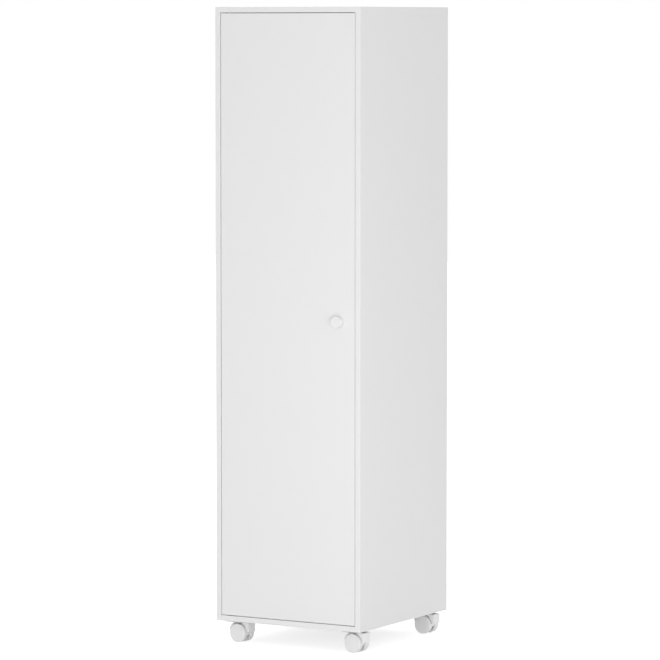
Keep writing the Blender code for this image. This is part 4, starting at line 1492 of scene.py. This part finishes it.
@dataclass
class Shelves:
    """Two loose shelves with a banded front edge, on eight pins.

    Attributes:
        band: thickness of the edge band.
        soften: radius of the softened edges.
        pin_radius: radius of a pin.
        collar_radius: radius of its collar.
        collar: thickness of the collar.
        pin_reach: how far the pin stands out under the shelf.
        pin_depth: how far it goes into the side board.
        tip_share: radius of its rounded ends as a share of its own.
    """

    band: float = 0.001
    soften: float = 0.0003
    pin_radius: float = 0.0025
    collar_radius: float = 0.004
    collar: float = 0.0012
    pin_reach: float = 0.008
    pin_depth: float = 0.007
    tip_share: float = 0.3

    def build(self) -> None:
        """Make both shelves and their pins."""
        for shelf in ("upper", "middle"):
            self._build_shelf(shelf)
            for end in ("front", "rear"):
                for hand in ("left", "right"):
                    self._build_pin(f"{shelf}_{end}_{hand}", -1 if hand == "left" else 1)

    def _build_shelf(self, shelf: str) -> None:
        """Foiled board with a band glued to its front edge."""
        node = "shelf_" + shelf
        low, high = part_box(node)
        split = low.y + self.band
        board = Workshop(node, box((low.x, split, low.z), high), soften=self.soften).mesh()
        band = Workshop(
            node + "_band", box(low, (high.x, split, high.z)), soften=self.soften
        ).mesh()
        for polygon in band.polygons:
            polygon.material_index = 1
        joined = bmesh.new()
        for mesh in (board, band):
            joined.from_mesh(mesh)
            bpy.data.meshes.remove(mesh)
        mesh = shaded(to_mesh(node, joined))
        install(node + "_board", mesh, [FOIL, SHELF_EDGE], "cabinet", [node])

    def _build_pin(self, place: str, side: int) -> None:
        """Turned pin with a collar and rounded ends."""
        node = "shelf_pin_" + place
        low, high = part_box(node)
        centre = (low + high) / 2
        inner = high.x - self.pin_depth if side > 0 else low.x + self.pin_depth
        tip = self.pin_radius * self.tip_share
        outline = [
            (0, self.pin_reach),
            (self.pin_radius - tip, self.pin_reach),
            *arc(
                (self.pin_radius - tip, self.pin_reach - tip), tip, math.pi / 2, 0.0, TIP_STEPS
            ),
            (self.pin_radius, self.collar + FIT),
            (self.collar_radius - FIT, self.collar + FIT),
            (self.collar_radius, self.collar),
            (self.collar_radius, FIT),
            (self.pin_radius, FIT),
            (self.pin_radius, tip - self.pin_depth),
            (self.pin_radius - tip, -self.pin_depth),
            (0, -self.pin_depth),
        ]
        facing = Facing.LEFT if side > 0 else Facing.RIGHT
        pin = moved(turned(outline, LATHE_STEPS), (inner, centre.y, centre.z), facing.turn)
        install_body("turned_" + node, pin, NICKEL, "cabinet", node)


@dataclass
class Catch:
    """Magnetic catch on the right-hand board and its strike plate on the door.

    Attributes:
        screw_pitch: distance between the housing's screws.
        soften: radius of the softened edges of housing and magnet.
        strike_soften: the same for the strike plate.
    """

    screw_pitch: float = 0.034
    soften: float = 0.0004
    strike_soften: float = 0.0002

    def build(self) -> None:
        """Make the housing, magnet, strike and their screws."""
        install_softened("catch_housing", "catch_case", NYLON, "cabinet", self.soften)
        install_softened("catch_magnet", "catch_ferrite", FERRITE, "cabinet", self.soften)
        face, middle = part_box("catch_housing")[0].x, centre_of("catch_housing")
        seats = [
            ((face, middle.y, middle.z + side * self.screw_pitch / 2), Facing.LEFT.turn)
            for side in (-1, 1)
        ]
        ScrewSet("catch_screws", CATCH_SCREW, seats, "cabinet").build()
        install_softened("strike_plate", "catch_strike", ZINC, "door", self.strike_soften)
        ScrewSet(
            "catch_strike_screw", STRIKE_SCREW, [rear_seat("strike_screw")], "door",
            replaces=["strike_screw"],
        ).build()


@dataclass
class BagRails:
    """Powder-coated angle rails on the side boards, each held by three screws.

    Attributes:
        thickness: thickness of the angle.
        leg: height of its upright leg.
        screw_inset: distance of the outer screws from the rail's ends.
        soften: radius of the softened edges.
    """

    thickness: float = 0.0015
    leg: float = 0.022
    screw_inset: float = 0.030
    soften: float = 0.00035

    def build(self) -> None:
        """Make both rails and their screws."""
        seats: list[Seat] = []
        for side, hand in ((-1, "left"), (1, "right")):
            node = "bag_rail_" + hand
            install_softened(node, node + "_angle", POWDER, "cabinet", self.soften)
            seats += self._seats(node, side)
        ScrewSet("bag_rail_screws", RAIL_SCREW, seats, "cabinet").build()

    def _seats(self, node: str, side: int) -> list[Seat]:
        """Seats on the inner face of the upright leg."""
        low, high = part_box(node)
        wall = high.x if side > 0 else low.x
        height = low.z + (self.leg - self.thickness) / 2
        facing = Facing.LEFT if side > 0 else Facing.RIGHT
        places = (low.y + self.screw_inset, (low.y + high.y) / 2, high.y - self.screw_inset)
        return [((wall - side * self.thickness, y, height), facing.turn) for y in places]


@dataclass
class LaundryBag:
    """Canvas bag that hangs in soft folds from a wire ring on the rails.

    Attributes:
        wire_radius: radius of the ring's wire.
        wire_corner: radius of the ring's corners on the wire's centre line.
        cloth: thickness of the canvas.
        taper: how far the walls draw in towards the base.
        base_radius: radius where the walls turn into the base.
        fold_depth: depth of the deepest folds.
        folds: counts of broad folds, fine folds and slack waves round the bag.
        fold_shares: how much of the depth each of the three takes.
        sag: how far the middle of the base hangs down.
        rows: rings of the wall.
        hem_steps: steps of the hem over the wire.
        turn_steps: steps where the walls turn into the base.
        base_rows: rings of the base.
        base_reach: distance over the base to its middle, for the surface coordinates.
        corner_steps: steps round each corner.
        side_step: length of a step along the sides.
        hem_stitches: height of the casing seam below the wire.
        stitch_pitch: step between stitches.
        stitch_length: length of a stitch.
        thread_lift: how far the thread stands out of the cloth.
        corner_match: how far a corner seam's normal may be from the diagonal.
        outline: point, outward normal and distance along the path, round the ring.
        height: height of the ring.
        base: height of the base's edge.
        perimeter: length of the ring's path.
    """

    wire_radius: float = 0.0025
    wire_corner: float = 0.026
    cloth: float = 0.0011
    taper: float = 0.010
    base_radius: float = 0.012
    fold_depth: float = 0.0055
    folds: tuple[int, int, int] = (7, 17, 4)
    fold_shares: tuple[float, float, float] = (0.28, 0.14, 0.08)
    sag: float = 0.007
    rows: int = 46
    hem_steps: int = 12
    turn_steps: int = 6
    base_rows: int = 16
    base_reach: float = 0.15
    corner_steps: int = 14
    side_step: float = 0.006
    hem_stitches: float = 0.011
    stitch_pitch: float = 0.0042
    stitch_length: float = 0.0032
    thread_lift: float = 0.00035
    corner_match: float = 0.06
    outline: list[tuple[Vector, Vector, float]] = field(init=False)
    height: float = field(init=False)
    base: float = field(init=False)
    perimeter: float = field(init=False)

    def __post_init__(self) -> None:
        """Read the ring and the bag's base, and lay out the ring's path."""
        low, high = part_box("bag_frame")
        radius = self.wire_radius
        self.height = (low.z + high.z) / 2
        self.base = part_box("laundry_bag")[0].z + self.cloth / 2 + self.sag
        self.outline = self._path(
            (low.x + radius, low.y + radius), (high.x - radius, high.y - radius)
        )

    def build(self) -> None:
        """Make the ring, the cloth, its seams and its stitches."""
        self._build_ring()
        rings, lengths = self._rings()
        self._build_cloth(rings, lengths)
        self._build_stitches(rings)

    def _path(self, low: Point2, high: Point2) -> list[tuple[Vector, Vector, float]]:
        """Even points of the wire's centre line.

        Args:
            low: lowest x and y.
            high: highest x and y.

        Returns:
            Point, outward normal and distance along the path, for each.
        """
        corner = self.wire_corner
        centres = corner_centres(low, high, corner)
        points: list[tuple[Vector, Vector]] = []
        for (x, y, start), (next_x, next_y, _) in zip(centres, centres[1:] + centres[:1]):
            for step in range(self.corner_steps + 1):
                angle = start + math.pi / 2 * step / self.corner_steps
                normal = Vector((math.cos(angle), math.sin(angle), 0.0))
                points.append((Vector((x, y, 0.0)) + corner * normal, normal))
            last, normal = points[-1]
            end = Vector((next_x, next_y, 0.0)) + corner * normal
            count = max(2, round((end - last).length / self.side_step))
            points += [(last.lerp(end, step / count), normal) for step in range(1, count)]
        found = []
        travelled = 0.0
        for index, (point, normal) in enumerate(points):
            found.append((point, normal, travelled))
            travelled += (points[(index + 1) % len(points)][0] - point).length
        self.perimeter = travelled
        return found

    def _build_ring(self) -> None:
        """Bent wire, swept along its path."""
        carrier = bpy.data.meshes.new("ring_path")
        points = [point + Vector((0, 0, self.height)) for point, _, _ in self.outline]
        count = len(points)
        carrier.from_pydata(points, [(i, (i + 1) % count) for i in range(count)], [])
        swept = WireTree().mesh("bag_ring", carrier, POWDER, {"Radius": self.wire_radius})
        ring = to_mesh("bag_ring", closed(to_body(swept)))
        install("bag_ring", ring, POWDER, "cabinet", ["bag_frame"])

    def _fold(self, along: float, down: float) -> float:
        """Inward depth of the folds.

        Args:
            along: place round the bag, 0 to 1.
            down: place down the wall, 0 at the ring to 1 at the base.

        Returns:
            Depth from 0 to 1, with no seam where the path closes.
        """
        turn = 2 * math.pi * along
        broad_folds, fine_folds, slack_waves = self.folds
        waves = (
            math.sin(broad_folds * turn + 1.1 * math.sin(2 * turn) + 1.4 * down),
            math.sin(fine_folds * turn + 0.6 + 2.2 * down) * math.sin(3 * turn + 0.4),
            math.sin(slack_waves * turn + 2.0) * math.sin(math.pi * down),
        )
        swell = 0.5 + sum(share * wave for share, wave in zip(self.fold_shares, waves))
        reach = math.sin(min(down / 0.35, 1.0) * math.pi / 2) * (1.0 - 0.45 * down * down)
        return max(0.0, min(1.0, swell)) * reach

    def _rings(self) -> tuple[list[list[Vector]], list[float]]:
        """Rings of the cloth's middle surface from the hem to the base.

        Returns:
            The rings, and the distance travelled down the cloth at each.
        """
        around = self.wire_radius + FIT + self.cloth / 2
        profile: list[tuple[float, float, float]] = []
        hem_drop = self.wire_radius - FIT
        profile += [(around, self.height - hem_drop * (1 - step / 2), 0.0) for step in range(2)]
        profile += [
            (around * math.cos(angle), self.height + around * math.sin(angle), 0.0)
            for angle in (
                math.pi * step / self.hem_steps for step in range(self.hem_steps + 1)
            )
        ]
        wall_base = self.base + self.base_radius
        for row in range(1, self.rows + 1):
            down = row / self.rows
            height = self.height + (wall_base - self.height) * down
            profile.append((-around - self.taper * down, height, down))
        for step in range(1, self.turn_steps + 1):
            angle = math.pi / 2 * step / self.turn_steps
            inset = self.taper + self.base_radius * (1 - math.cos(angle))
            profile.append((-around - inset, wall_base - self.base_radius * math.sin(angle), 1.0))
        rings = []
        lengths = [0.0]
        for offset, height, down in profile:
            ring = []
            for point, normal, travelled in self.outline:
                depth = self.fold_depth * self._fold(travelled / self.perimeter, down)
                place = point + normal * (offset - depth)
                ring.append(Vector((place.x, place.y, height)))
            rings.append(ring)
        for (offset, height, _), (last_offset, last_height, _) in zip(profile[1:], profile):
            step = math.hypot(offset - last_offset, height - last_height)
            lengths.append(lengths[-1] + step)
        edge = rings[-1]
        centre = sum(edge, Vector()) / len(edge)
        for row in range(1, self.base_rows):
            share = 1 - row / self.base_rows
            drop = self.sag * (1 - share * share)
            rings.append([centre.lerp(point, share) - Vector((0, 0, drop)) for point in edge])
            lengths.append(lengths[-1] + self.base_reach / self.base_rows)
        return rings, lengths

    def _build_cloth(self, rings: list[list[Vector]], lengths: list[float]) -> None:
        """Skin the rings, give the cloth its thickness and its surface coordinates."""
        body = bmesh.new()
        loops = [[body.verts.new(point) for point in ring] for ring in rings]
        uv = body.loops.layers.uv.new("cloth")
        count = len(self.outline)
        stops = [travelled for _, _, travelled in self.outline] + [self.perimeter]
        for row, (first, second) in enumerate(zip(loops, loops[1:])):
            for index in range(count):
                after = (index + 1) % count
                face = body.faces.new((first[index], second[index], second[after], first[after]))
                corners = ((index, row), (index, row + 1), (index + 1, row + 1), (index + 1, row))
                for loop, (stop, level) in zip(face.loops, corners):
                    loop[uv].uv = (stops[stop], lengths[level])
        last = loops[-1]
        middle = body.verts.new(
            sum((vert.co for vert in last), Vector()) / count - Vector((0, 0, 0.0002))
        )
        for index in range(count):
            face = body.faces.new((last[index], middle, last[(index + 1) % count]))
            for loop in face.loops:
                loop[uv].uv = (loop.vert.co.x, loop.vert.co.y)
        bmesh.ops.recalc_face_normals(body, faces=body.faces)
        carrier = linked("laundry_bag", to_mesh("laundry_bag", body))
        solidify = carrier.modifiers.new("cloth", "SOLIDIFY")
        solidify.thickness = self.cloth
        solidify.offset = 0.0
        mesh = applied(carrier)
        mesh.shade_smooth()
        install("bag_canvas", mesh, CANVAS, "cabinet", ["laundry_bag"])

    def _build_stitches(self, rings: list[list[Vector]]) -> None:
        """Casing seam below the ring and a seam down each rear corner."""
        hem_row = min(
            range(self.hem_steps + 3, len(rings)),
            key=lambda row: abs(rings[row][0].z - (self.height - self.hem_stitches)),
        )
        base_row = next(
            row for row, ring in enumerate(rings) if ring[0].z < self.base + self.base_radius
        )
        rear = max(point.y for point, _, _ in self.outline)
        columns = [
            index
            for index, (point, normal, _) in enumerate(self.outline)
            if abs(abs(normal.x) - abs(normal.y)) < self.corner_match
            and point.y > rear - self.wire_corner
        ]
        verts: list[Vector] = list(rings[hem_row])
        count = len(verts)
        edges = [(i, (i + 1) % count) for i in range(count)]
        for column in columns:
            start = len(verts)
            run = [rings[row][column] for row in range(hem_row + 1, base_row)]
            verts += run
            edges += [(start + i, start + i + 1) for i in range(len(run) - 1)]
        carrier = bpy.data.meshes.new("seam_paths")
        carrier.from_pydata(verts, edges, [])
        values = {
            "Pitch": self.stitch_pitch,
            "Stitch Length": self.stitch_length,
            "Thread Radius": self.cloth / 2 + self.thread_lift,
        }
        mesh = StitchTree().mesh("bag_stitches", carrier, THREAD, values)
        install("bag_stitches", mesh, THREAD, "cabinet")


# Door


@dataclass
class Door:
    """Inset door with its knob and the screw that holds it.

    Attributes:
        edge: radius of the softened lacquered edges.
        lap: how far the board reaches over the CAD board's free edges, for a finer gap.
        hinge_lap: the same at the hinge edge, where the board has to clear the side.
        rim: radius of the knob's front edge.
        heel: radius of its edge at the door.
        thread_depth: depth of its threaded hole.
    """

    edge: float = 0.0007
    lap: float = 0.0008
    hinge_lap: float = 0.0005
    rim: float = 0.0013
    heel: float = 0.0003
    thread_depth: float = 0.009

    def build(self) -> None:
        """Make the door board, the knob and its screw."""
        low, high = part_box("door_panel")
        knob_low, knob_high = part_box("door_knob")
        centre = centre_of("door_knob")
        seat = ((centre.x, high.y, centre.z), Facing.REAR.turn)
        cuts = [PivotPlate(level).door_cutter() for level in ("bottom", "top")]
        cuts += [KNOB_SCREW.hole(seat), STRIKE_SCREW.hole(rear_seat("strike_screw"))]
        body = box(
            low - Vector((self.hinge_lap, 0.0, self.lap)), high + Vector((self.lap, 0.0, self.lap))
        )
        board = Workshop("door_panel", body, cut=cuts, soften=self.edge, soften_first=True)
        install("door_board", board.mesh(), LACQUER, "door", ["door_panel"])
        outline = self._knob_outline((knob_high.x - knob_low.x) / 2, knob_high.y - knob_low.y)
        place = (centre.x, knob_high.y, centre.z)
        knob = moved(turned(outline, FINE_STEPS), place, Facing.FRONT.turn)
        install_body("turned_knob", knob, LACQUER, "door", "door_knob")
        ScrewSet("knob_fixing", KNOB_SCREW, [seat], "door", replaces=["knob_screw"]).build()

    def _knob_outline(self, radius: float, length: float) -> list[Point2]:
        """Half outline of the plain round knob, with its thread hole, from the door outwards."""
        hole = KNOB_SCREW.shank_radius + FIT
        heel, rim = self.heel, self.rim
        return [
            (0.0, self.thread_depth),
            (hole, self.thread_depth),
            (hole, 0.0),
            *arc((radius - heel, heel), heel, -math.pi / 2, 0.0, TIP_STEPS),
            *arc((radius - rim, length - rim), rim, 0.0, math.pi / 2, CORNER_STEPS),
            (0.0, length),
        ]


# Casters


class CasterCorner(Enum):
    """Corners of the cabinet that carry a caster."""

    FRONT_LEFT = "front_left"
    FRONT_RIGHT = "front_right"
    REAR_LEFT = "rear_left"
    REAR_RIGHT = "rear_right"


@dataclass
class Caster:
    """Hooded twin-wheel swivel caster under one corner.

    Attributes:
        corner: the corner it stands under.
        wheel_radius: radius of the wheels.
        wheel_width: width of one wheel.
        wheel_edge: radius of the disc's edge.
        wheel_face: thickness of the disc over the axle's end.
        wheel_recess: depth of the hollow between hub and rim.
        wheel_rim: thickness of the rim.
        hub_radius: radius of the wheel's hub.
        side_gap: gap between a wheel and the web.
        trail: distance from the swivel axis to the axle.
        axle_radius: radius of the axle.
        axle_tip: chamfer of its ends.
        web: thickness of the web between the wheels.
        hood_width: width of the hood, which the wheels stand out of.
        wheel_gap: gap between the wheels and the hood.
        hood_arc: radius of the hood's arc about the axle.
        hood_reach: distance from the axle to the outside of the flat wall.
        hood_corner: radius where the flat wall meets the top.
        wall_end: height of the flat wall's lower end over the axle.
        left_end: angle at which the hood's arc ends.
        boss_radius: radius of the boss under the top plate.
        boss_rise: how far the boss stands over the hood's top.
        boss_depth: how far it goes down from the hood's top.
        web_reach: distance from the axle to the web's end under the flat wall.
        web_corner: radius of the web's lower corner.
        web_hub: radius of the web's hub round the axle.
        web_hub_start: angle at which the hub's outline starts.
        kingpin_radius: radius of the kingpin's shank.
        kingpin_foot: height of its bore's end over the axle.
        kingpin_chamfer: chamfer of its head.
        plate_side: side of the square top plate.
        plate_corner: radius of its corners.
        screw_pitch: distance between the plate's screws.
        soften: radius of the softened edges.
        hood_soften_angle: hood edges sharper than this many degrees are softened.
        shade: angle below which turned pieces shade smoothly, in degrees.
        flat: angle below which the hood's faces are joined, in degrees.
    """

    corner: CasterCorner
    wheel_radius: float = 0.020
    wheel_width: float = 0.0113
    wheel_edge: float = 0.0008
    wheel_face: float = 0.002
    wheel_recess: float = 0.006
    wheel_rim: float = 0.0035
    hub_radius: float = 0.006
    side_gap: float = 0.0007
    trail: float = 0.006
    axle_radius: float = 0.0025
    axle_tip: float = 0.0005
    web: float = 0.010
    hood_width: float = 0.023
    wheel_gap: float = 0.0025
    hood_arc: float = 0.0257
    hood_reach: float = 0.027
    hood_corner: float = 0.0025
    wall_end: float = 0.003
    left_end: float = math.radians(166.0)
    boss_radius: float = 0.009
    boss_rise: float = 0.0005
    boss_depth: float = 0.010
    web_reach: float = 0.017
    web_corner: float = 0.005
    web_hub: float = 0.0065
    web_hub_start: float = math.radians(190.0)
    kingpin_radius: float = 0.003
    kingpin_foot: float = 0.0055
    kingpin_chamfer: float = 0.0008
    plate_side: float = 0.046
    plate_corner: float = 0.006
    screw_pitch: float = 0.034
    soften: float = 0.0003
    hood_soften_angle: float = 38.0
    shade: float = 40.0
    flat: float = 0.2

    @property
    def centre(self) -> Vector:
        """Point of the swivel axis on the floor."""
        middle = centre_of("kingpin_" + self.corner.value)
        return Vector((middle.x, middle.y, 0.0))

    @property
    def yaw(self) -> float:
        """How far the caster is turned at rest, read from its wheels' axis."""
        axis = joint_named("spin_outer_" + self.corner.value)["axis"]
        return math.atan2(-axis[0], axis[1])

    def _set(self, body: Body, turn: Matrix | None = None, shift: float = 0.0) -> Body:
        """Bring a body from the axle's frame to its place under the cabinet."""
        local = moved(body, (self.trail, shift, self.wheel_radius), turn)
        return moved(local, self.centre, Matrix.Rotation(self.yaw, 3, "Z"))

    def build(self) -> None:
        """Make the plate, kingpin, hood, axle and wheels."""
        name = self.corner.value
        swivel = "swivel_" + name
        self._build_plate()
        kingpin = "kingpin_" + name
        install_body("turned_" + kingpin, self._kingpin(), NICKEL, "cabinet", kingpin, self.shade)
        hood = self._set(self._hood())
        mesh = Workshop(
            "hood", hood, soften=self.soften, soften_angle=self.hood_soften_angle
        ).mesh()
        install("hood_" + name, mesh, CASTER_WHITE, swivel, ["caster_hood_" + name])
        axle = self._set(self._axle(), Facing.FRONT.turn)
        install_body("axle_" + name, axle, ZINC, swivel, "caster_axle_" + name, self.shade)
        start = self.web / 2 + self.side_gap
        for side, facing, shift in (
            ("outer", Facing.FRONT, -start), ("inner", Facing.REAR, start),
        ):
            node = f"wheel_{side}_{name}"
            wheel = self._set(self._wheel(), facing.turn, shift)
            install_body("turned_" + node, wheel, CASTER_WHITE, node, node, self.shade)

    def _build_plate(self) -> None:
        """Top plate with its four countersunk screws."""
        node = "caster_plate_" + self.corner.value
        low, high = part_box(node)
        centre = self.centre
        half = self.plate_side / 2
        outline = rounded_rectangle(
            (centre.x - half, centre.y - half), (centre.x + half, centre.y + half),
            self.plate_corner, CORNER_STEPS,
        )
        reach = self.screw_pitch / 2
        seats = [
            ((centre.x + dx, centre.y + dy, low.z), Facing.DOWN.turn)
            for dx in (-reach, reach) for dy in (-reach, reach)
        ]
        radius = self.kingpin_radius + FIT
        bore = moved(self._bar(radius, low.z - FIT, high.z + FIT, BORE_STEPS), centre)
        cuts = [bore] + [CASTER_SCREW.hole(seat) for seat in seats]
        plate = Workshop(
            node, prism(outline, low.z, high.z, axis="Z"), cut=cuts, soften=self.soften,
            soften_first=True,
        )
        # The plate's dark steel is painted shade under the cabinet's bottom edge.
        install("stamped_" + node, plate.mesh(), CASTER_PLATE_DARK_AS_SHADE, "cabinet", [node])
        ScrewSet("caster_screws_" + self.corner.value, CASTER_SCREW, seats, "cabinet").build()

    def _kingpin(self) -> Body:
        """Headed pin through the plate into the hood's boss."""
        low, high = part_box("kingpin_" + self.corner.value)
        plate_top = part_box("caster_plate_" + self.corner.value)[1].z
        radius = (high.x - low.x) / 2
        chamfer = self.kingpin_chamfer
        outline = [
            (0, high.z),
            *arc((radius - chamfer, high.z - chamfer), chamfer, math.pi / 2, 0.0, TIP_STEPS),
            (radius, plate_top + FIT),
            (self.kingpin_radius, plate_top + FIT),
            (self.kingpin_radius, low.z + chamfer / 2),
            (self.kingpin_radius - chamfer / 2, low.z),
            (0, low.z),
        ]
        return moved(turned(outline, LATHE_STEPS), self.centre)

    def _axle(self) -> Body:
        """Axle pin with chamfered ends, about Z."""
        half = self.web / 2 + self.side_gap + self.wheel_width - self.wheel_face - FIT
        tip = self.axle_tip
        outline = [
            (0, half), (self.axle_radius - tip, half), (self.axle_radius, half - tip),
            (self.axle_radius, tip - half), (self.axle_radius - tip, -half), (0, -half),
        ]
        return turned(outline, BORE_STEPS)

    def _wheel(self) -> Body:
        """Wheel about Z: closed disc at the top, tread with a rounded edge, hub and rim."""
        edge = self.wheel_edge
        radius = self.wheel_radius
        profile = [
            (0, self.wheel_width),
            *arc((radius - edge, self.wheel_width - edge), edge, math.pi / 2, 0.0, EDGE_STEPS),
            *arc((radius - edge / 2, edge / 2), edge / 2, 0.0, -math.pi / 2, TIP_STEPS),
            (radius - self.wheel_rim, 0),
            (radius - self.wheel_rim, self.wheel_recess),
            (self.hub_radius, self.wheel_recess),
            (self.hub_radius, 0),
            (self.axle_radius + FIT, 0),
            (self.axle_radius + FIT, self.wheel_width - self.wheel_face),
            (0, self.wheel_width - self.wheel_face),
        ]
        return turned(profile, FINE_STEPS)

    def _hood(self) -> Body:
        """Hood about the axle: arc and flat wall over the wheels, web between them, boss."""
        inner = self.wheel_radius + self.wheel_gap
        plate_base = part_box("caster_plate_" + self.corner.value)[0].z
        boss_top = plate_base - FIT - self.wheel_radius
        top = boss_top - self.boss_rise
        corner = (self.hood_reach - self.hood_corner, top - self.hood_corner)
        arc_start = math.pi - math.asin(top / self.hood_arc)
        left_end = (inner * math.cos(self.left_end), inner * math.sin(self.left_end))
        web_foot = (self.web_reach - self.web_corner, self.web_corner - self.web_hub)
        outline = (
            [(self.hood_reach, self.wall_end)]
            + arc(corner, self.hood_corner, 0.0, math.pi / 2, CORNER_STEPS)
            + arc((0, 0), self.hood_arc, arc_start, self.left_end, HOOD_STEPS)
            + [left_end]
            + arc((0, 0), self.web_hub, self.web_hub_start, 3 * math.pi / 2, WEB_STEPS)
            + arc(web_foot, self.web_corner, -math.pi / 2, 0.0, WEB_STEPS)
            + [(self.web_reach, self.wall_end)]
        )
        web_half = self.web / 2
        half = self.hood_width / 2
        boss = self._bar(self.boss_radius, top - self.boss_depth, boss_top, BOSS_STEPS)
        wells = gathered([
            moved(self._bar(inner, web_half, self.hood_width, FINE_STEPS), turn=facing.turn)
            for facing in (Facing.FRONT, Facing.REAR)
        ])
        axle_bore = self._bar(self.axle_radius + FIT, -self.web, self.web, BORE_STEPS)
        kingpin_bore = self._bar(
            self.kingpin_radius + FIT, self.kingpin_foot, boss_top + FIT, BORE_STEPS
        )
        hood = Workshop(
            "hood_body",
            prism(outline, -half, half),
            joined=[moved(boss, (-self.trail, 0, 0))],
            cut=[
                wells,
                moved(axle_bore, turn=Facing.FRONT.turn),
                moved(kingpin_bore, (-self.trail, 0, 0)),
            ],
        )
        return flattened(to_body(hood.mesh()), self.flat)

    @staticmethod
    def _bar(radius: float, low: float, high: float, steps: int) -> Body:
        """Round bar about Z."""
        return turned([(0, high), (radius, high), (radius, low), (0, low)], steps)


# Studio


@dataclass(frozen=True)
class Lamp:
    """Square soft lamp.

    Attributes:
        name: its name.
        place: where it stands.
        aim: the point that it faces.
        size: side of the square.
        power: power in watts.
    """

    name: str
    place: tuple[float, float, float]
    aim: tuple[float, float, float]
    size: float
    power: float

    def build(self) -> None:
        """Hang the lamp."""
        light = bpy.data.lights.new(self.name, "AREA")
        light.shape = "SQUARE"
        light.size = self.size
        light.energy = self.power
        lamp = linked(self.name, light)
        lamp.location = self.place
        direction = Vector(self.aim) - Vector(self.place)
        lamp.rotation_euler = direction.to_track_quat("-Z", "Y").to_euler()


@dataclass
class Studio:
    """Pale floor, white surroundings, soft lamps and the camera.

    Attributes:
        camera_place: where the camera stands.
        camera_tilt: angle from straight down, in degrees.
        camera_turn: turn about the vertical, in degrees.
        lens: focal length, in millimetres.
        sensor: width of the sensor, in millimetres.
        view_end: distance at which the camera's view ends.
        floor_reach: distance of the floor's edges from the middle.
        world_strength: strength of the surroundings as a light.
        floor_glow: white added to the floor as the camera sees it.
        floor_tone: the floor's own reflectance.
        lamps: the lamps.
    """

    camera_place: tuple[float, float, float] = (4.2317, -7.2597, 1.3166)
    camera_tilt: float = 85.5696
    camera_turn: float = 30.2505
    lens: float = 214.10
    sensor: float = 36.0
    view_end: float = 100.0
    floor_reach: float = 12.0
    world_strength: float = 0.62
    floor_glow: float = 0.64
    floor_tone: float = 0.82
    lamps: tuple[Lamp, ...] = (
        Lamp("key", (3.0, -4.6, 0.7), (0.0, 0.0, 0.5), 1.3, 44.0),
        Lamp("middle", (3.7, -4.2, 0.6), (0.0, 0.0, 0.5), 1.4, 31.0),
        Lamp("top_front", (0.3, -3.0, 3.6), (0.0, 0.0, 0.6), 2.4, 5.5),
        Lamp("low_front", (0.9, -1.9, 0.2), (0.0, 0.0, 0.2), 0.8, 7.0),
        Lamp("low_right", (3.0, -1.6, 0.1), (0.0, 0.0, 0.05), 0.8, 7.5),
        Lamp("high_right", (3.4, -1.2, 1.9), (0.0, 0.0, 1.2), 0.8, 3.2),
        Lamp("rear", (-2.4, 3.6, 3.4), (0.0, 0.0, 0.8), 2.6, 44.0),
    )

    def build(self) -> None:
        """Lay the floor, light the room and set the camera."""
        self._build_floor()
        self._build_world()
        for lamp in self.lamps:
            lamp.build()
        self._build_camera()
        bpy.context.scene.view_settings.view_transform = "Standard"

    def _build_floor(self) -> None:
        """Large plain floor that keeps the shadow and shows white to the camera."""
        mesh = bpy.data.meshes.new("floor")
        reach = self.floor_reach
        corners = [(-reach, -reach, 0), (reach, -reach, 0), (reach, reach, 0), (-reach, reach, 0)]
        mesh.from_pydata(corners, [], [(0, 1, 2, 3)])
        floor = linked("floor", mesh)
        made = bpy.data.materials.new("floor_paper")
        made.use_nodes = True
        graph = Graph(made.node_tree)
        graph.fill(
            made.node_tree.nodes["Principled BSDF"],
            {
                "Base Color": (*[self.floor_tone] * 3, 1.0),
                "Roughness": 0.9,
                "Specular IOR Level": 0.0,
                "Emission Color": (1.0, 1.0, 1.0, 1.0),
                "Emission Strength": graph.math("MULTIPLY", self._seen(graph), self.floor_glow),
            },
        )
        mesh.materials.append(made)

    @staticmethod
    def _seen(graph: Graph) -> Socket:
        """1 for rays from the camera, a mirror or through glass."""
        path = graph.add("ShaderNodeLightPath")
        direct = graph.math(
            "MAXIMUM", path.outputs["Is Camera Ray"], path.outputs["Is Glossy Ray"]
        )
        return graph.math("MAXIMUM", direct, path.outputs["Is Transmission Ray"])

    def _build_world(self) -> None:
        """White to the camera, a softer even light to everything else."""
        world = bpy.data.worlds.new("studio_white")
        bpy.context.scene.world = world
        world.use_nodes = True
        graph = Graph(world.node_tree)
        extra = graph.math("MULTIPLY", self._seen(graph), 1.0 - self.world_strength)
        strength = graph.math("ADD", extra, self.world_strength)
        background = world.node_tree.nodes["Background"]
        graph.fill(background, {"Color": (1.0, 1.0, 1.0, 1.0), "Strength": strength})

    def _build_camera(self) -> None:
        """Camera at the photograph's viewpoint."""
        data = bpy.data.cameras.new("camera")
        data.lens = self.lens
        data.sensor_width = self.sensor
        data.clip_end = self.view_end
        camera = linked("camera", data)
        camera.location = self.camera_place
        camera.rotation_euler = (
            math.radians(self.camera_tilt), 0.0, math.radians(self.camera_turn)
        )
        bpy.context.scene.camera = camera


def main() -> None:
    """Build every sub-assembly in order."""
    logging.basicConfig(level=logging.INFO, format="%(name)s %(message)s")
    Carcass().build()
    Shelves().build()
    Catch().build()
    BagRails().build()
    LaundryBag().build()
    Door().build()
    for level in ("bottom", "top"):
        PivotPlate(level).build()
    install_softened("pivot_washer", "pivot_washer_ring", NYLON, "cabinet", WASHER_SOFTEN)
    for corner in CasterCorner:
        Caster(corner).build()
    Studio().build()


if __name__ == "__main__":
    main()
